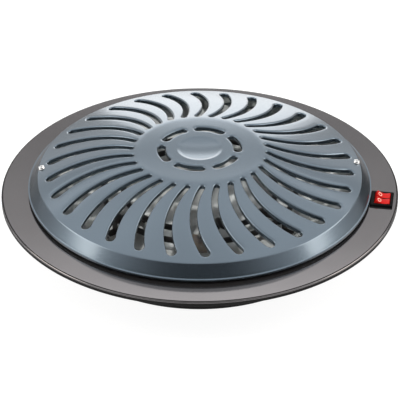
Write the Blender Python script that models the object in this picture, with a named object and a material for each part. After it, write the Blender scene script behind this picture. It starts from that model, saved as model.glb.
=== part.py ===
"""Low round electric heater: a domed guard grille with swirl slots over two ring elements in a dished body.

All heights are counted from the rim plane, the flat top face of the brim. The empty rim_plane
carries that plane at its height above the floor, and every piece hangs from it.
"""

import math

import bmesh
import bpy
from mathutils import Matrix, Vector

MM = 0.001

# Clearances and fineness
SEAT_GAP = 0.3 * MM
HOLE_CLEARANCE = 0.3 * MM
OVERRUN = 3.0 * MM
MERGE = 0.0005 * MM
CREASE = math.radians(33.0)
RIM_STEPS = 72
SHEET_STEPS = 60
SMALL_STEPS = 12
TINY_STEPS = 10

# Rim ring
RIM_RADIUS = 220.0 * MM
RIM_HEIGHT = 58.0 * MM
RIM_SHEET = 1.0 * MM
RIM_LEDGE = 10.0 * MM
LIP_ROLL = 2.7 * MM
LIP_DROP = 5.5 * MM

# Twin rocker switch
SWITCH_ANGLE = math.radians(-9.8)
BEZEL_LENGTH = 23.1 * MM
BEZEL_WIDTH = 27.0 * MM
BEZEL_HEIGHT = 2.0 * MM
BEZEL_CHAMFER = 0.6 * MM
BEZEL_OVERLAP = 1.25 * MM
SWITCH_MARGIN = 2.8 * MM
SWITCH_DEPTH = 14.0 * MM
SWITCH_WALL = 1.3 * MM
ROCKER_RIB = 1.2 * MM
ROCKER_POCKET = 7.0 * MM
ROCKER_CLEARANCE = 0.25 * MM
ROCKER_TILT = math.radians(10.0)
PIVOT_DEPTH = 0.6 * MM
PIVOT_RADIUS = 1.2 * MM
PIVOT_CLEARANCE = 0.2 * MM
PIVOT_REACH = 0.5 * MM
PIVOT_HOLE_DEPTH = 0.8 * MM
# Height of the rocker's dip, corners, waist and foot over its pivot, as shares of its swing radius
ROCKER_HEIGHT_SHARES = (0.33, 0.5, -0.32, -0.48)
ROCKER_FOOT_SHARE = 0.35
TAB_LENGTH = 6.0 * MM
TAB_WIDTH = 4.8 * MM
TAB_SHEET = 0.8 * MM

# Cover under the switch, and the grommet through the body wall
COVER_WALL = 1.4 * MM
COVER_ROOM = 1.4 * MM
COVER_CHAMFER = 4.0 * MM
COVER_EAR = 8.0 * MM
GROMMET_WALL = 0.8 * MM
GROMMET_FLANGE = 1.2 * MM
GROMMET_LENGTH = 2.5 * MM

# Guard grille
GUARD_LIFT = 4.0 * MM
GUARD_EDGE = 1.8 * MM
GUARD_WALL = 3.2 * MM
GUARD_BEVEL = 10.2 * MM
SHOULDER_HEIGHT = 18.4 * MM
DOME_CROWN = 1.3 * MM
HUB_RADIUS = 69.5 * MM
HUB_HEIGHT = 46.8 * MM
HUB_FALL = 1.5 * MM
MEDALLION_RADIUS = 25.5 * MM
MEDALLION_DISH = 1.8 * MM
SWIRL_SLOTS = 30
SWIRL_ROWS = 7
SWIRL_PHASE = math.radians(-88.1)
SWIRL_SAGITTA = 10.6 * MM
SLOT_WIDTHS = (5.7 * MM, 7.3 * MM, 10.0 * MM)
SLOT_HUB_MARGIN = 3.1 * MM
SLOT_SHOULDER_MARGIN = 8.4 * MM
HUB_SLOTS = 6
HUB_SLOT_RADIUS = 41.9 * MM
HUB_SLOT_WIDTH = 8.6 * MM
HUB_SLOT_SPAN = math.radians(35.7)
HUB_SLOT_PHASE = math.radians(14.0)
HUB_SLOT_ROWS = 5

# Guard brackets, screws and rivets
SCREW_INSET = 3.3 * MM
SCREW_SHANK = 1.75 * MM
SCREW_HEAD = 3.75 * MM
SCREW_HEAD_HEIGHT = 2.3 * MM
SCREW_LENGTH = 9.0 * MM
SCREW_CROSS = 0.8 * MM
BRACKET_SHEET = 1.2 * MM
BRACKET_WIDTH = 12.0 * MM
BRACKET_REACH = 6.2 * MM
BRACKET_ANGLES = {
    "right": math.radians(4.0),
    "back": math.radians(85.9),
    "left": math.radians(179.5),
    "front": math.radians(265.9),
}
SCREWED_BRACKETS = ("right", "left")
RIVET_SHANK = 1.9 * MM
RIVET_HEAD = 3.4 * MM
RIVET_HEAD_HEIGHT = 1.5 * MM
RIVET_SHARE = 0.6

# Body bowl and feet
BODY_INSET = 26.6 * MM
BODY_FLANGE_INSET = 7.6 * MM
BODY_SHEET = 0.8 * MM
BODY_CORNER = 5.0 * MM
FOOT_STAND = 3.0 * MM
FOOT_RADIUS = 10.0 * MM
FOOT_STEM = 3.0 * MM
FOOT_BARB = 1.4 * MM
FOOT_BARB_HEIGHT = 2.2 * MM
FOOT_INSET = 27.5 * MM
FOOT_COUNT = 4
VENT_COUNT = 6
VENT_WIDTH = 5.0 * MM
VENT_START = 39.0 * MM
VENT_LENGTH = 29.0 * MM
VENT_PHASE = math.radians(30.0)

# Reflector dish
REFLECTOR_SHEET = 0.8 * MM
REFLECTOR_STEP = 1.0 * MM
REFLECTOR_CLEARANCE = 3.0 * MM
REFLECTOR_SLOPE = 24.0 * MM
REFLECTOR_DEPTH = 20.0 * MM

# Tubular elements
TUBE_RADIUS = 3.25 * MM
ELEMENT_DROP = 5.3 * MM
# Radii of the two rings as shares of the dish's flat floor
OUTER_RING_SHARE = 0.856
INNER_RING_SHARE = 0.68
INNER_RETURN = 23.0 * MM
LEG_OFFSET = 18.3 * MM
TUBE_BEND = 9.0 * MM
TERMINAL_ANGLE = math.radians(-90.0)
RING_POINTS = 40
BEND_POINTS = 3
# How far down from the reflector to the wires the tube legs, bushes and pins reach
LEG_SHARE = 0.33
BUSH_SHARE = 0.51
PIN_SHARE = 0.81
PIN_RADIUS = 1.25 * MM
BUSH_RADIUS = 3.0 * MM

# Element brackets and small screws
EYE_CLEARANCE = 0.5 * MM
EYE_WALL = 1.2 * MM
EYE_POINTS = 4
ELEMENT_BRACKET_WIDTH = 9.0 * MM
ELEMENT_BRACKET_STEP = 2.2 * MM
ELEMENT_BRACKET_FOOT = 9.0 * MM
ELEMENT_BRACKET_ANGLES = (math.radians(90.0), math.radians(216.0), math.radians(324.0))
SMALL_SCREW_SHANK = 1.45 * MM
SMALL_SCREW_HEAD = 2.9 * MM
SMALL_SCREW_HEIGHT = 1.8 * MM
SMALL_SCREW_LENGTH = 6.0 * MM

# Thermal cut-out and the heat-tinted plate over it
CUTOUT_SHIFT = 1.0 * MM
CUTOUT_RADIUS = 8.0 * MM
CUTOUT_HEIGHT = 9.0 * MM
CUTOUT_LUG = 18.0 * MM
CUTOUT_LUG_SHEET = 1.2 * MM
CUTOUT_LUG_WIDTH_SHARE = 0.7
CUTOUT_TAB_SPREAD = 4.5 * MM
PLATE_SHEET = 0.8 * MM
PLATE_WIDTH = 16.0 * MM
PLATE_MARGIN = 4.0 * MM

# Gland, terminal block and earth stud
GLAND_BORE = 4.1 * MM
GLAND_BARREL = 6.0 * MM
GLAND_FLANGE = 10.0 * MM
GLAND_FLANGE_SHEET = 3.0 * MM
GLAND_NOSE = 7.5 * MM
GLAND_TAPER = 1.1 * MM
GLAND_NOSE_LENGTH = 8.0 * MM
GLAND_BARREL_LENGTH = 9.0 * MM
GLAND_NUT = 9.2 * MM
GLAND_NUT_SHEET = 3.5 * MM
GLAND_SHARE = 0.55
BLOCK_LENGTH = 46.0 * MM
BLOCK_WIDTH = 18.0 * MM
BLOCK_HEIGHT = 12.0 * MM
BLOCK_POLES = 5
BLOCK_GROOVE = 1.6 * MM
BLOCK_GROOVE_SHARE = 0.5
BLOCK_CHAMFER = 2.0 * MM
BLOCK_SHARE = 0.56
STUD_RADIUS = 2.0 * MM
STUD_FLANGE = 5.0 * MM
STUD_FLANGE_SHEET = 1.2 * MM
STUD_NUT = 3.6 * MM
STUD_HEIGHT = 11.0 * MM
STUD_REACH = 25.6 * MM
STUD_SETBACK = 14.6 * MM

# Wires
WIRE_RADIUS = 1.3 * MM
WIRE_BEND = 3.0 * MM
WIRE_STEP = 9.0 * MM

# Sizes that follow from the ones above
SWITCH_RADIUS = RIM_RADIUS - LIP_ROLL - SWITCH_MARGIN - BEZEL_LENGTH / 2
GUARD_RADIUS = SWITCH_RADIUS - BEZEL_LENGTH / 2 - SWITCH_MARGIN
SHOULDER_RADIUS = GUARD_RADIUS - GUARD_BEVEL
SCREW_CIRCLE = SHOULDER_RADIUS - SCREW_INSET
SLOT_START = HUB_RADIUS + SLOT_HUB_MARGIN + SLOT_WIDTHS[0] / 2
SLOT_END = SHOULDER_RADIUS - SLOT_SHOULDER_MARGIN - SLOT_WIDTHS[2] / 2
BODY_RADIUS = GUARD_RADIUS - BODY_INSET
BODY_FLANGE_RADIUS = GUARD_RADIUS - BODY_FLANGE_INSET
RIVET_CIRCLE = BODY_RADIUS + (BODY_FLANGE_RADIUS - BODY_RADIUS) * RIVET_SHARE
BODY_TOP = -RIM_SHEET - SEAT_GAP
BODY_FLOOR = FOOT_STAND - RIM_HEIGHT
FLOOR_TOP = BODY_FLOOR + BODY_SHEET
REFLECTOR_MOUTH = BODY_RADIUS - RIM_LEDGE - REFLECTOR_CLEARANCE
REFLECTOR_FLOOR_RADIUS = REFLECTOR_MOUTH - REFLECTOR_SLOPE
REFLECTOR_TOP = SEAT_GAP + REFLECTOR_SHEET
DISH_TOP = -REFLECTOR_DEPTH + REFLECTOR_SHEET
WIRE_LEVEL = FLOOR_TOP + SEAT_GAP + BLOCK_HEIGHT * BLOCK_GROOVE_SHARE
TERMINAL_ROOM = -REFLECTOR_DEPTH - WIRE_LEVEL
LEG_END = -REFLECTOR_DEPTH - TERMINAL_ROOM * LEG_SHARE
BUSH_END = -REFLECTOR_DEPTH - TERMINAL_ROOM * BUSH_SHARE
PIN_END = -REFLECTOR_DEPTH - TERMINAL_ROOM * PIN_SHARE
OUTER_RING = REFLECTOR_FLOOR_RADIUS * OUTER_RING_SHARE
INNER_RING = REFLECTOR_FLOOR_RADIUS * INNER_RING_SHARE
INNER_LEG_CIRCLE = INNER_RING - INNER_RETURN
OUTER_GAP = math.asin(LEG_OFFSET / OUTER_RING)
INNER_GAP = math.asin(LEG_OFFSET / INNER_LEG_CIRCLE)
CUTOUT_CIRCLE = (INNER_RING + OUTER_RING) / 2 - CUTOUT_SHIFT
FOOT_CIRCLE = BODY_RADIUS - FOOT_INSET
TAB_TOP = -SWITCH_DEPTH - SEAT_GAP
LANE_LEVEL = TAB_TOP - TAB_LENGTH / 2
ROCKER_SWING = BEZEL_LENGTH / 2 - BEZEL_OVERLAP - SWITCH_WALL - ROCKER_CLEARANCE
POCKET_HALF_LENGTH = ROCKER_SWING + ROCKER_CLEARANCE
SWITCH_HALF_LENGTH = POCKET_HALF_LENGTH + SWITCH_WALL
SWITCH_HALF_WIDTH = BEZEL_WIDTH / 2 - BEZEL_OVERLAP
POCKET_HALF_WIDTH = SWITCH_HALF_WIDTH - SWITCH_WALL
ROCKER_WIDTH = POCKET_HALF_WIDTH - ROCKER_RIB / 2 - 2 * ROCKER_CLEARANCE
ROCKER_OFFSET = (POCKET_HALF_WIDTH + ROCKER_RIB / 2) / 2
TAB_OFFSET = SWITCH_HALF_LENGTH / 2
LANE_STEP = TAB_SHEET / 2 + SEAT_GAP + WIRE_RADIUS
WINDOW_LANE = ROCKER_OFFSET + LANE_STEP


def lerp(low, high, share):
    """The value that lies this share of the way from low to high."""
    return low + (high - low) * share


def polar(radius, angle, height=0.0):
    """A point given by its distance from the axis, its angle and its height."""
    return Vector((radius * math.cos(angle), radius * math.sin(angle), height))


def spot(radius, angle, height=0.0):
    """A frame at a polar place, whose X axis points away from the heater's axis."""
    return Matrix.Rotation(angle, 4, "Z") @ Matrix.Translation((radius, 0.0, height))


def circle(radius, steps, centre=(0.0, 0.0), start=0.0):
    """Corners of a round hole or edge, as flat pairs."""
    turns = [start + 2 * math.pi * i / steps for i in range(steps)]
    return [(centre[0] + radius * math.cos(a), centre[1] + radius * math.sin(a)) for a in turns]


def arc(centre, radius, first, last, steps):
    """Points of an arc from one angle to another, both ends included."""
    turns = [lerp(first, last, i / steps) for i in range(steps + 1)]
    return [(centre[0] + radius * math.cos(a), centre[1] + radius * math.sin(a)) for a in turns]


def rectangle(x_low, x_high, y_low, y_high):
    """Corners of a rectangle, as flat pairs."""
    return [(x_low, y_low), (x_high, y_low), (x_high, y_high), (x_low, y_high)]


def finish(name, colour, roughness, metallic):
    """A plain surface for one kind of piece."""
    made = bpy.data.materials.new(name)
    made.use_nodes = True
    shader = made.node_tree.nodes["Principled BSDF"]
    shader.inputs["Base Color"].default_value = (*colour, 1.0)
    shader.inputs["Roughness"].default_value = roughness
    shader.inputs["Metallic"].default_value = metallic
    return made


def mesh_from(name, bm):
    """Closes a bmesh into a mesh whose faces look outwards and whose round sides are smooth."""
    bmesh.ops.remove_doubles(bm, verts=bm.verts, dist=MERGE)
    bmesh.ops.recalc_face_normals(bm, faces=bm.faces)
    mesh = bpy.data.meshes.new(name)
    bm.to_mesh(mesh)
    bm.free()
    mesh.shade_smooth()
    mesh.set_sharp_from_angle(angle=CREASE)
    return mesh


def turned(name, outline, steps):
    """Spins a closed outline of (radius, height) pairs about Z."""
    bm = bmesh.new()
    ring = [bm.verts.new((radius, 0.0, height)) for radius, height in outline]
    pairs = zip(ring, ring[1:] + ring[:1])
    edges = [bm.edges.new(pair) for pair in pairs if pair[0].co.x > 0 or pair[1].co.x > 0]
    axle = {"cent": (0, 0, 0), "axis": (0, 0, 1), "angle": 2 * math.pi}
    bmesh.ops.spin(bm, geom=ring + edges, steps=steps, use_merge=True, **axle)
    return mesh_from(name, bm)


def extruded(name, loops, low, high, along="Z"):
    """Fills an outline and its holes and gives them depth along Z, or along Y for an X-Z outline."""
    bm = bmesh.new()
    edges = []
    for loop in loops:
        if along == "Z":
            ring = [bm.verts.new((u, v, low)) for u, v in loop]
        else:
            ring = [bm.verts.new((u, low, v)) for u, v in loop]
        edges += [bm.edges.new(pair) for pair in zip(ring, ring[1:] + ring[:1])]
    bmesh.ops.triangle_fill(bm, use_beauty=True, use_dissolve=True, edges=edges)
    grown = bmesh.ops.extrude_face_region(bm, geom=bm.faces[:], use_keep_orig=True)
    step = Vector((0, 0, high - low)) if along == "Z" else Vector((0, high - low, 0))
    moved = [item for item in grown["geom"] if isinstance(item, bmesh.types.BMVert)]
    bmesh.ops.translate(bm, verts=moved, vec=step)
    return mesh_from(name, bm)


def lofted(name, sections, closed=False):
    """Joins rectangles of (half length, half width, height); closed joins the last to the first."""
    bm = bmesh.new()
    rings = []
    for half_x, half_y, z in sections:
        corners = rectangle(-half_x, half_x, -half_y, half_y)
        rings.append([bm.verts.new((x, y, z)) for x, y in corners])
    following = rings[1:] + rings[:1] if closed else rings[1:]
    for lower, upper in zip(rings, following):
        for i in range(4):
            bm.faces.new((lower[i - 1], lower[i], upper[i], upper[i - 1]))
    if not closed:
        bm.faces.new(rings[0])
        bm.faces.new(rings[-1])
    return mesh_from(name, bm)


def boxes(name, corners):
    """One mesh of boxes, each given by its lowest and highest corner."""
    bm = bmesh.new()
    for low, high in corners:
        low, high = Vector(low), Vector(high)
        frame = Matrix.Translation((low + high) / 2) @ Matrix.Diagonal((*(high - low), 1.0))
        bmesh.ops.create_cube(bm, size=1.0, matrix=frame)
    return mesh_from(name, bm)


def cylinders(name, frames, radius, low, high, steps=SMALL_STEPS):
    """One mesh of round bars, each along the Z axis of its own frame."""
    bm = bmesh.new()
    middle = Matrix.Translation((0.0, 0.0, (low + high) / 2))
    bar = {"cap_ends": True, "segments": steps, "radius1": radius, "radius2": radius, "depth": high - low}
    for frame in frames:
        bmesh.ops.create_cone(bm, matrix=frame @ middle, **bar)
    return mesh_from(name, bm)


def placed(name, data, surface, parent, location=(0.0, 0.0, 0.0), rotation=(0.0, 0.0, 0.0)):
    """Puts a mesh or curve into the scene under its parent, with its finish."""
    piece = bpy.data.objects.new(name, data)
    bpy.context.scene.collection.objects.link(piece)
    piece.parent = parent
    piece.location = location
    piece.rotation_euler = rotation
    if surface and not data.materials:
        data.materials.append(surface)
    return piece


def seat(name, parent, location=(0.0, 0.0, 0.0), rotation=(0.0, 0.0, 0.0)):
    """An empty that other pieces hang from."""
    frame = placed(name, None, None, parent, location, rotation)
    frame.empty_display_size = FOOT_RADIUS
    return frame


def combine(piece, data, operation="DIFFERENCE"):
    """Cuts a mesh out of a piece, or joins it on, in the piece's own frame."""
    helper = placed(data.name, data, None, piece.parent, piece.location, piece.rotation_euler)
    helper.hide_render = True
    helper.display_type = "WIRE"
    step = piece.modifiers.new(data.name, "BOOLEAN")
    step.operation = operation
    step.solver = "EXACT"
    step.object = helper


def settle_cuts():
    """Applies every piece's cuts and joins, marks its sharp edges again and clears the helpers away."""
    graph = bpy.context.evaluated_depsgraph_get()
    pieces = [piece for piece in bpy.data.objects if piece.modifiers]
    cut = {piece: bpy.data.meshes.new_from_object(piece.evaluated_get(graph)) for piece in pieces}
    helpers = {step.object for piece in pieces for step in piece.modifiers}
    for piece, mesh in cut.items():
        piece.modifiers.clear()
        piece.data = mesh
        mesh.set_sharp_from_angle(angle=CREASE)
    for helper in helpers:
        bpy.data.objects.remove(helper)


def tube(name, points, radius, resolution, surface, parent):
    """A round bar along a row of points, with closed ends."""
    curve = bpy.data.curves.new(name, "CURVE")
    curve.dimensions = "3D"
    curve.fill_mode = "FULL"
    curve.bevel_depth = radius
    curve.bevel_resolution = resolution
    curve.use_fill_caps = True
    spline = curve.splines.new("POLY")
    spline.points.add(len(points) - 1)
    for knot, point in zip(spline.points, points):
        knot.co = (*point, 1.0)
    return placed(name, curve, surface, parent)


def guard_height(radius):
    """Height of the guard's outer face at a distance from the axis."""
    crease = HUB_HEIGHT - HUB_FALL
    if radius <= MEDALLION_RADIUS:
        return HUB_HEIGHT - MEDALLION_DISH * (1 - (radius / MEDALLION_RADIUS) ** 2)
    if radius <= HUB_RADIUS:
        return lerp(HUB_HEIGHT, crease, (radius - MEDALLION_RADIUS) / (HUB_RADIUS - MEDALLION_RADIUS))
    if radius <= SHOULDER_RADIUS:
        share = (radius - HUB_RADIUS) / (SHOULDER_RADIUS - HUB_RADIUS)
        return lerp(crease, SHOULDER_HEIGHT, share) + 4 * DOME_CROWN * share * (1 - share)
    return lerp(SHOULDER_HEIGHT, GUARD_LIFT + GUARD_EDGE, (radius - SHOULDER_RADIUS) / GUARD_BEVEL)


def guard_wall(radius):
    """Upright thickness of the guard, which thins towards its outer edge."""
    return lerp(GUARD_WALL, GUARD_EDGE, max(0.0, (radius - SHOULDER_RADIUS) / GUARD_BEVEL))


def dome_slope():
    """How steeply the dome falls where its screws sit."""
    fall = (HUB_HEIGHT - HUB_FALL - SHOULDER_HEIGHT) / (SHOULDER_RADIUS - HUB_RADIUS)
    share = (SCREW_CIRCLE - HUB_RADIUS) / (SHOULDER_RADIUS - HUB_RADIUS)
    crown = 4 * DOME_CROWN * (2 * share - 1) / (SHOULDER_RADIUS - HUB_RADIUS)
    return math.atan(fall + crown)


def swirl_slot():
    """One slot's right side, outer end, left side and inner end, as (radius, angle) pairs.

    The middle line is an arc whose chord is radial and whose bulge points clockwise.
    """
    length = SLOT_END - SLOT_START
    bow = (length * length / 4 + SWIRL_SAGITTA * SWIRL_SAGITTA) / (2 * SWIRL_SAGITTA)
    inner, middle, outer = SLOT_WIDTHS
    right, left = [], []
    for i in range(SWIRL_ROWS + 1):
        share = i / SWIRL_ROWS
        off = (share - 0.5) * length
        depth = math.sqrt(bow * bow - off * off)
        centre = Vector((SLOT_START + share * length, bow - SWIRL_SAGITTA - depth))
        ahead = Vector((1.0, off / depth)).normalized()
        aside = Vector((-ahead.y, ahead.x))
        width = inner * (1 - share) * (1 - 2 * share) + 4 * middle * share * (1 - share)
        half = (width + outer * share * (2 * share - 1)) / 2
        right.append(centre - aside * half)
        left.append(centre + aside * half)
        if i == 0:
            turns = [math.radians(angle) for angle in (135, 180, 225)]
            inner_end = [centre + (ahead * math.cos(a) + aside * math.sin(a)) * half for a in turns]
        if i == SWIRL_ROWS:
            turns = [math.radians(angle) for angle in (-45, 0, 45)]
            outer_end = [centre + (ahead * math.cos(a) + aside * math.sin(a)) * half for a in turns]
    parts = (right, outer_end, left, inner_end)
    return [[(point.length, math.atan2(point.y, point.x)) for point in part] for part in parts]


def hub_slot(phase):
    """Outline of one arc slot round the hub, as flat points."""
    half, reach = HUB_SLOT_WIDTH / 2, HUB_SLOT_SPAN / 2
    inner, outer = HUB_SLOT_RADIUS - half, HUB_SLOT_RADIUS + half
    far = arc((0.0, 0.0), outer, phase - reach, phase + reach, HUB_SLOT_ROWS)
    near = arc((0.0, 0.0), inner, phase + reach, phase - reach, HUB_SLOT_ROWS)
    end = polar(HUB_SLOT_RADIUS, phase + reach)
    start = polar(HUB_SLOT_RADIUS, phase - reach)
    turn = phase + reach
    end_cap = arc((end.x, end.y), half, turn, turn + math.pi, 3)[1:-1]
    turn = phase - reach
    start_cap = arc((start.x, start.y), half, turn + math.pi, turn + 2 * math.pi, 3)[1:-1]
    return far + end_cap + near + start_cap


def guard_mesh():
    """The domed sheet with its slots, laid out flat, raised to its profile and given its wall."""
    bm = bmesh.new()

    def corner(radius, angle):
        return bm.verts.new((radius * math.cos(angle), radius * math.sin(angle), 0.0))

    def ring_edges(ring):
        pairs = zip(ring, ring[1:] + ring[:1])
        return [bm.edges.get(pair) or bm.edges.new(pair) for pair in pairs]

    shape = swirl_slot()
    pitch = 2 * math.pi / SWIRL_SLOTS
    sectors = []
    for k in range(SWIRL_SLOTS):
        turn = SWIRL_PHASE + pitch * k
        rows = [[corner(radius, angle + turn) for radius, angle in part] for part in shape]
        shoulder = [corner(SHOULDER_RADIUS, turn + pitch * i / 3) for i in (-1, 0, 1)]
        edge = [corner(GUARD_RADIUS, turn + pitch * i / 3) for i in (-1, 0, 1)]
        hub = [corner(HUB_RADIUS, turn + pitch * i / 4) for i in (-1, 1)]
        sectors.append((*rows, shoulder, edge, hub))
    for k, sector in enumerate(sectors):
        low, tip, high, heel, shoulder, edge, hub = sector
        following = sectors[(k + 1) % SWIRL_SLOTS]
        bm.faces.new((low[-1], *tip, high[-1], *reversed(shoulder)))
        bm.faces.new((high[0], *heel, low[0], hub[0], hub[1]))
        bm.faces.new((high[-1], shoulder[2], following[4][0], following[0][-1]))
        bm.faces.new((high[0], following[0][0], following[6][0], hub[1]))
        for i in range(SWIRL_ROWS):
            bm.faces.new((high[i], high[i + 1], following[0][i + 1], following[0][i]))
        outer = [*zip(shoulder, edge), (following[4][0], following[5][0])]
        for (a, b), (c, d) in zip(outer, outer[1:]):
            bm.faces.new((a, b, d, c))
    rim = ring_edges([point for sector in sectors for point in sector[6]])
    for k in range(HUB_SLOTS):
        outline = hub_slot(HUB_SLOT_PHASE + 2 * math.pi * k / HUB_SLOTS)
        rim += ring_edges([bm.verts.new((x, y, 0.0)) for x, y in outline])
    steps = 2 * SMALL_STEPS
    eye = [bm.verts.new((x, y, 0.0)) for x, y in circle(MEDALLION_RADIUS, steps)]
    bmesh.ops.triangle_fill(bm, use_beauty=True, use_dissolve=False, edges=rim + ring_edges(eye))
    well = [bm.verts.new((x, y, 0.0)) for x, y in circle(MEDALLION_RADIUS / 2, steps)]
    middle = bm.verts.new((0.0, 0.0, 0.0))
    for i in range(steps):
        bm.faces.new((eye[i - 1], eye[i], well[i], well[i - 1]))
        bm.faces.new((well[i - 1], well[i], middle))
    for point in bm.verts:
        point.co.z = guard_height(point.co.length)
    grown = bmesh.ops.extrude_face_region(bm, geom=bm.faces[:], use_keep_orig=True)
    for item in grown["geom"]:
        if isinstance(item, bmesh.types.BMVert):
            item.co.z -= guard_wall(item.co.xy.length)
    return mesh_from("guard_grille", bm)


def screw_frame(angle):
    """Where a guard screw sits: on the dome, square to its surface."""
    return spot(SCREW_CIRCLE, angle, guard_height(SCREW_CIRCLE)) @ Matrix.Rotation(dome_slope(), 4, "Y")


def make_guard(rim_plane, surfaces):
    """The guard grille, and the two cross-head screws that hold it."""
    guard = placed("guard_grille", guard_mesh(), surfaces["slate"], rim_plane)
    frames = [screw_frame(BRACKET_ANGLES[side]) for side in SCREWED_BRACKETS]
    hole = SCREW_SHANK + HOLE_CLEARANCE
    reach = GUARD_WALL + OVERRUN
    combine(guard, cylinders("guard_screw_holes", frames, hole, -reach, reach))
    head = [
        (0.0, SCREW_HEAD_HEIGHT),
        (SCREW_HEAD * 0.5, SCREW_HEAD_HEIGHT * 0.92),
        (SCREW_HEAD * 0.87, SCREW_HEAD_HEIGHT * 0.6),
        (SCREW_HEAD, SCREW_HEAD_HEIGHT * 0.2),
        (SCREW_HEAD, 0.0),
        (SCREW_SHANK, 0.0),
        (SCREW_SHANK, SCREW_SHANK - SCREW_LENGTH),
        (0.0, -SCREW_LENGTH),
    ]
    outline = [(radius, height + SEAT_GAP) for radius, height in head]
    arm, floor = SCREW_HEAD * 0.6, SCREW_HEAD_HEIGHT * 0.4
    for side in SCREWED_BRACKETS:
        name = "guard_screw_" + side
        frame = screw_frame(BRACKET_ANGLES[side])
        screw = placed(name, turned(name, outline, SMALL_STEPS), surfaces["chrome"], rim_plane)
        screw.location = frame.to_translation()
        screw.rotation_euler = frame.to_euler()
        for axis, (x, y) in {"long": (arm, SCREW_CROSS / 2), "cross": (SCREW_CROSS / 2, arm)}.items():
            low, high = (-x, -y, floor), (x, y, SCREW_HEAD_HEIGHT + OVERRUN)
            combine(screw, boxes(name + "_slot_" + axis, [(low, high)]))


def bracket_outline():
    """Side view of a guard bracket: a foot, a riser and a flange that follows the dome's underside."""
    inner = min(RIVET_CIRCLE, SCREW_CIRCLE) - BRACKET_REACH
    foot_end = RIVET_CIRCLE + BRACKET_REACH
    flange_end = SHOULDER_RADIUS - SEAT_GAP
    floor = REFLECTOR_TOP + SEAT_GAP

    def flange(radius):
        return guard_height(radius) - GUARD_WALL - SEAT_GAP

    riser = inner + BRACKET_SHEET
    return [
        (inner, floor),
        (foot_end, floor),
        (foot_end, floor + BRACKET_SHEET),
        (riser, floor + BRACKET_SHEET),
        (riser, flange(riser) - BRACKET_SHEET),
        (flange_end, flange(flange_end) - BRACKET_SHEET),
        (flange_end, flange(flange_end)),
        (inner, flange(inner)),
    ]


def make_brackets(rim_plane, surfaces):
    """Four guard brackets, and the rivets that clamp them to the reflector, the rim and the body."""
    half = BRACKET_WIDTH / 2
    head_base = REFLECTOR_TOP + BRACKET_SHEET + 2 * SEAT_GAP
    tail = BODY_TOP - BODY_SHEET - SEAT_GAP
    rivet = [
        (0.0, head_base + RIVET_HEAD_HEIGHT),
        (RIVET_HEAD / 2, head_base + RIVET_HEAD_HEIGHT),
        (RIVET_HEAD, head_base + RIVET_HEAD_HEIGHT / 2),
        (RIVET_HEAD, head_base),
        (RIVET_SHANK, head_base),
        (RIVET_SHANK, tail),
        (lerp(RIVET_SHANK, RIVET_HEAD, 0.8), tail),
        (RIVET_SHANK, tail - RIVET_HEAD_HEIGHT),
        (0.0, tail - RIVET_HEAD_HEIGHT),
    ]
    rivet_mesh = turned("guard_rivet", rivet, TINY_STEPS)
    hole = RIVET_SHANK + HOLE_CLEARANCE
    for side, angle in BRACKET_ANGLES.items():
        name = "guard_bracket_" + side
        mesh = extruded(name, [bracket_outline()], -half, half, "Y")
        bracket = placed(name, mesh, surfaces["zinc"], rim_plane, rotation=(0.0, 0.0, angle))
        foot = [Matrix.Translation((RIVET_CIRCLE, 0.0, REFLECTOR_TOP))]
        high = head_base + RIVET_HEAD_HEIGHT
        combine(bracket, cylinders(name + "_rivet_hole", foot, hole, -OVERRUN, high, TINY_STEPS))
        if side in SCREWED_BRACKETS:
            frame = screw_frame(0.0)
            low = -GUARD_WALL - BRACKET_SHEET - OVERRUN
            wide = SCREW_SHANK + HOLE_CLEARANCE
            combine(bracket, cylinders(name + "_screw_hole", [frame], wide, low, 0.0, TINY_STEPS))
        placed("guard_rivet_" + side, rivet_mesh, surfaces["zinc"], rim_plane, polar(RIVET_CIRCLE, angle))


def make_rim(rim_plane, surfaces):
    """The flat brim with its rolled lip, cut for the switch, the rivets and the cover screws."""
    hole = BODY_RADIUS - RIM_LEDGE
    bend = (RIM_RADIUS - LIP_ROLL, -LIP_ROLL)
    outline = [(hole, 0.0)]
    outline += arc(bend, LIP_ROLL, math.pi / 2, 0.0, 3)
    outline += [(RIM_RADIUS, -LIP_DROP), (RIM_RADIUS - RIM_SHEET, -LIP_DROP)]
    outline += arc(bend, LIP_ROLL - RIM_SHEET, 0.0, math.pi / 2, 2)
    outline += [(hole, -RIM_SHEET)]
    rim = placed("rim_ring", turned("rim_ring", outline, RIM_STEPS), surfaces["taupe"], rim_plane)
    frames = [spot(RIVET_CIRCLE, angle) for angle in BRACKET_ANGLES.values()]
    wide = RIVET_SHANK + HOLE_CLEARANCE
    combine(rim, cylinders("rim_rivet_holes", frames, wide, -OVERRUN, OVERRUN, TINY_STEPS))
    opening = boxes("rim_switch_opening", [switch_opening()])
    opening.transform(Matrix.Rotation(SWITCH_ANGLE, 4, "Z"))
    combine(rim, opening)
    frames = [Matrix.Rotation(SWITCH_ANGLE, 4, "Z") @ Matrix.Translation(place) for place in cover_screws()]
    wide = SMALL_SCREW_SHANK + HOLE_CLEARANCE
    combine(rim, cylinders("rim_cover_holes", frames, wide, -OVERRUN, OVERRUN, TINY_STEPS))


def switch_opening():
    """Corners of the cut-out that the switch body passes through."""
    half_length = SWITCH_HALF_LENGTH + HOLE_CLEARANCE
    half_width = SWITCH_HALF_WIDTH + HOLE_CLEARANCE
    low = (SWITCH_RADIUS - half_length, -half_width, -OVERRUN)
    return low, (SWITCH_RADIUS + half_length, half_width, OVERRUN)


def cover_half_width():
    """Half the outer width of the cover under the switch."""
    return SWITCH_HALF_WIDTH + 2 * SEAT_GAP + COVER_WALL


def cover_screws():
    """Places of the two cover screws: under the guard's edge, outside the body's flange."""
    radius = (BODY_FLANGE_RADIUS + GUARD_RADIUS) / 2
    aside = cover_half_width() + COVER_EAR / 2
    along = math.sqrt(radius * radius - aside * aside)
    return [Vector((along, -aside, 0.0)), Vector((along, aside, 0.0))]


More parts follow.
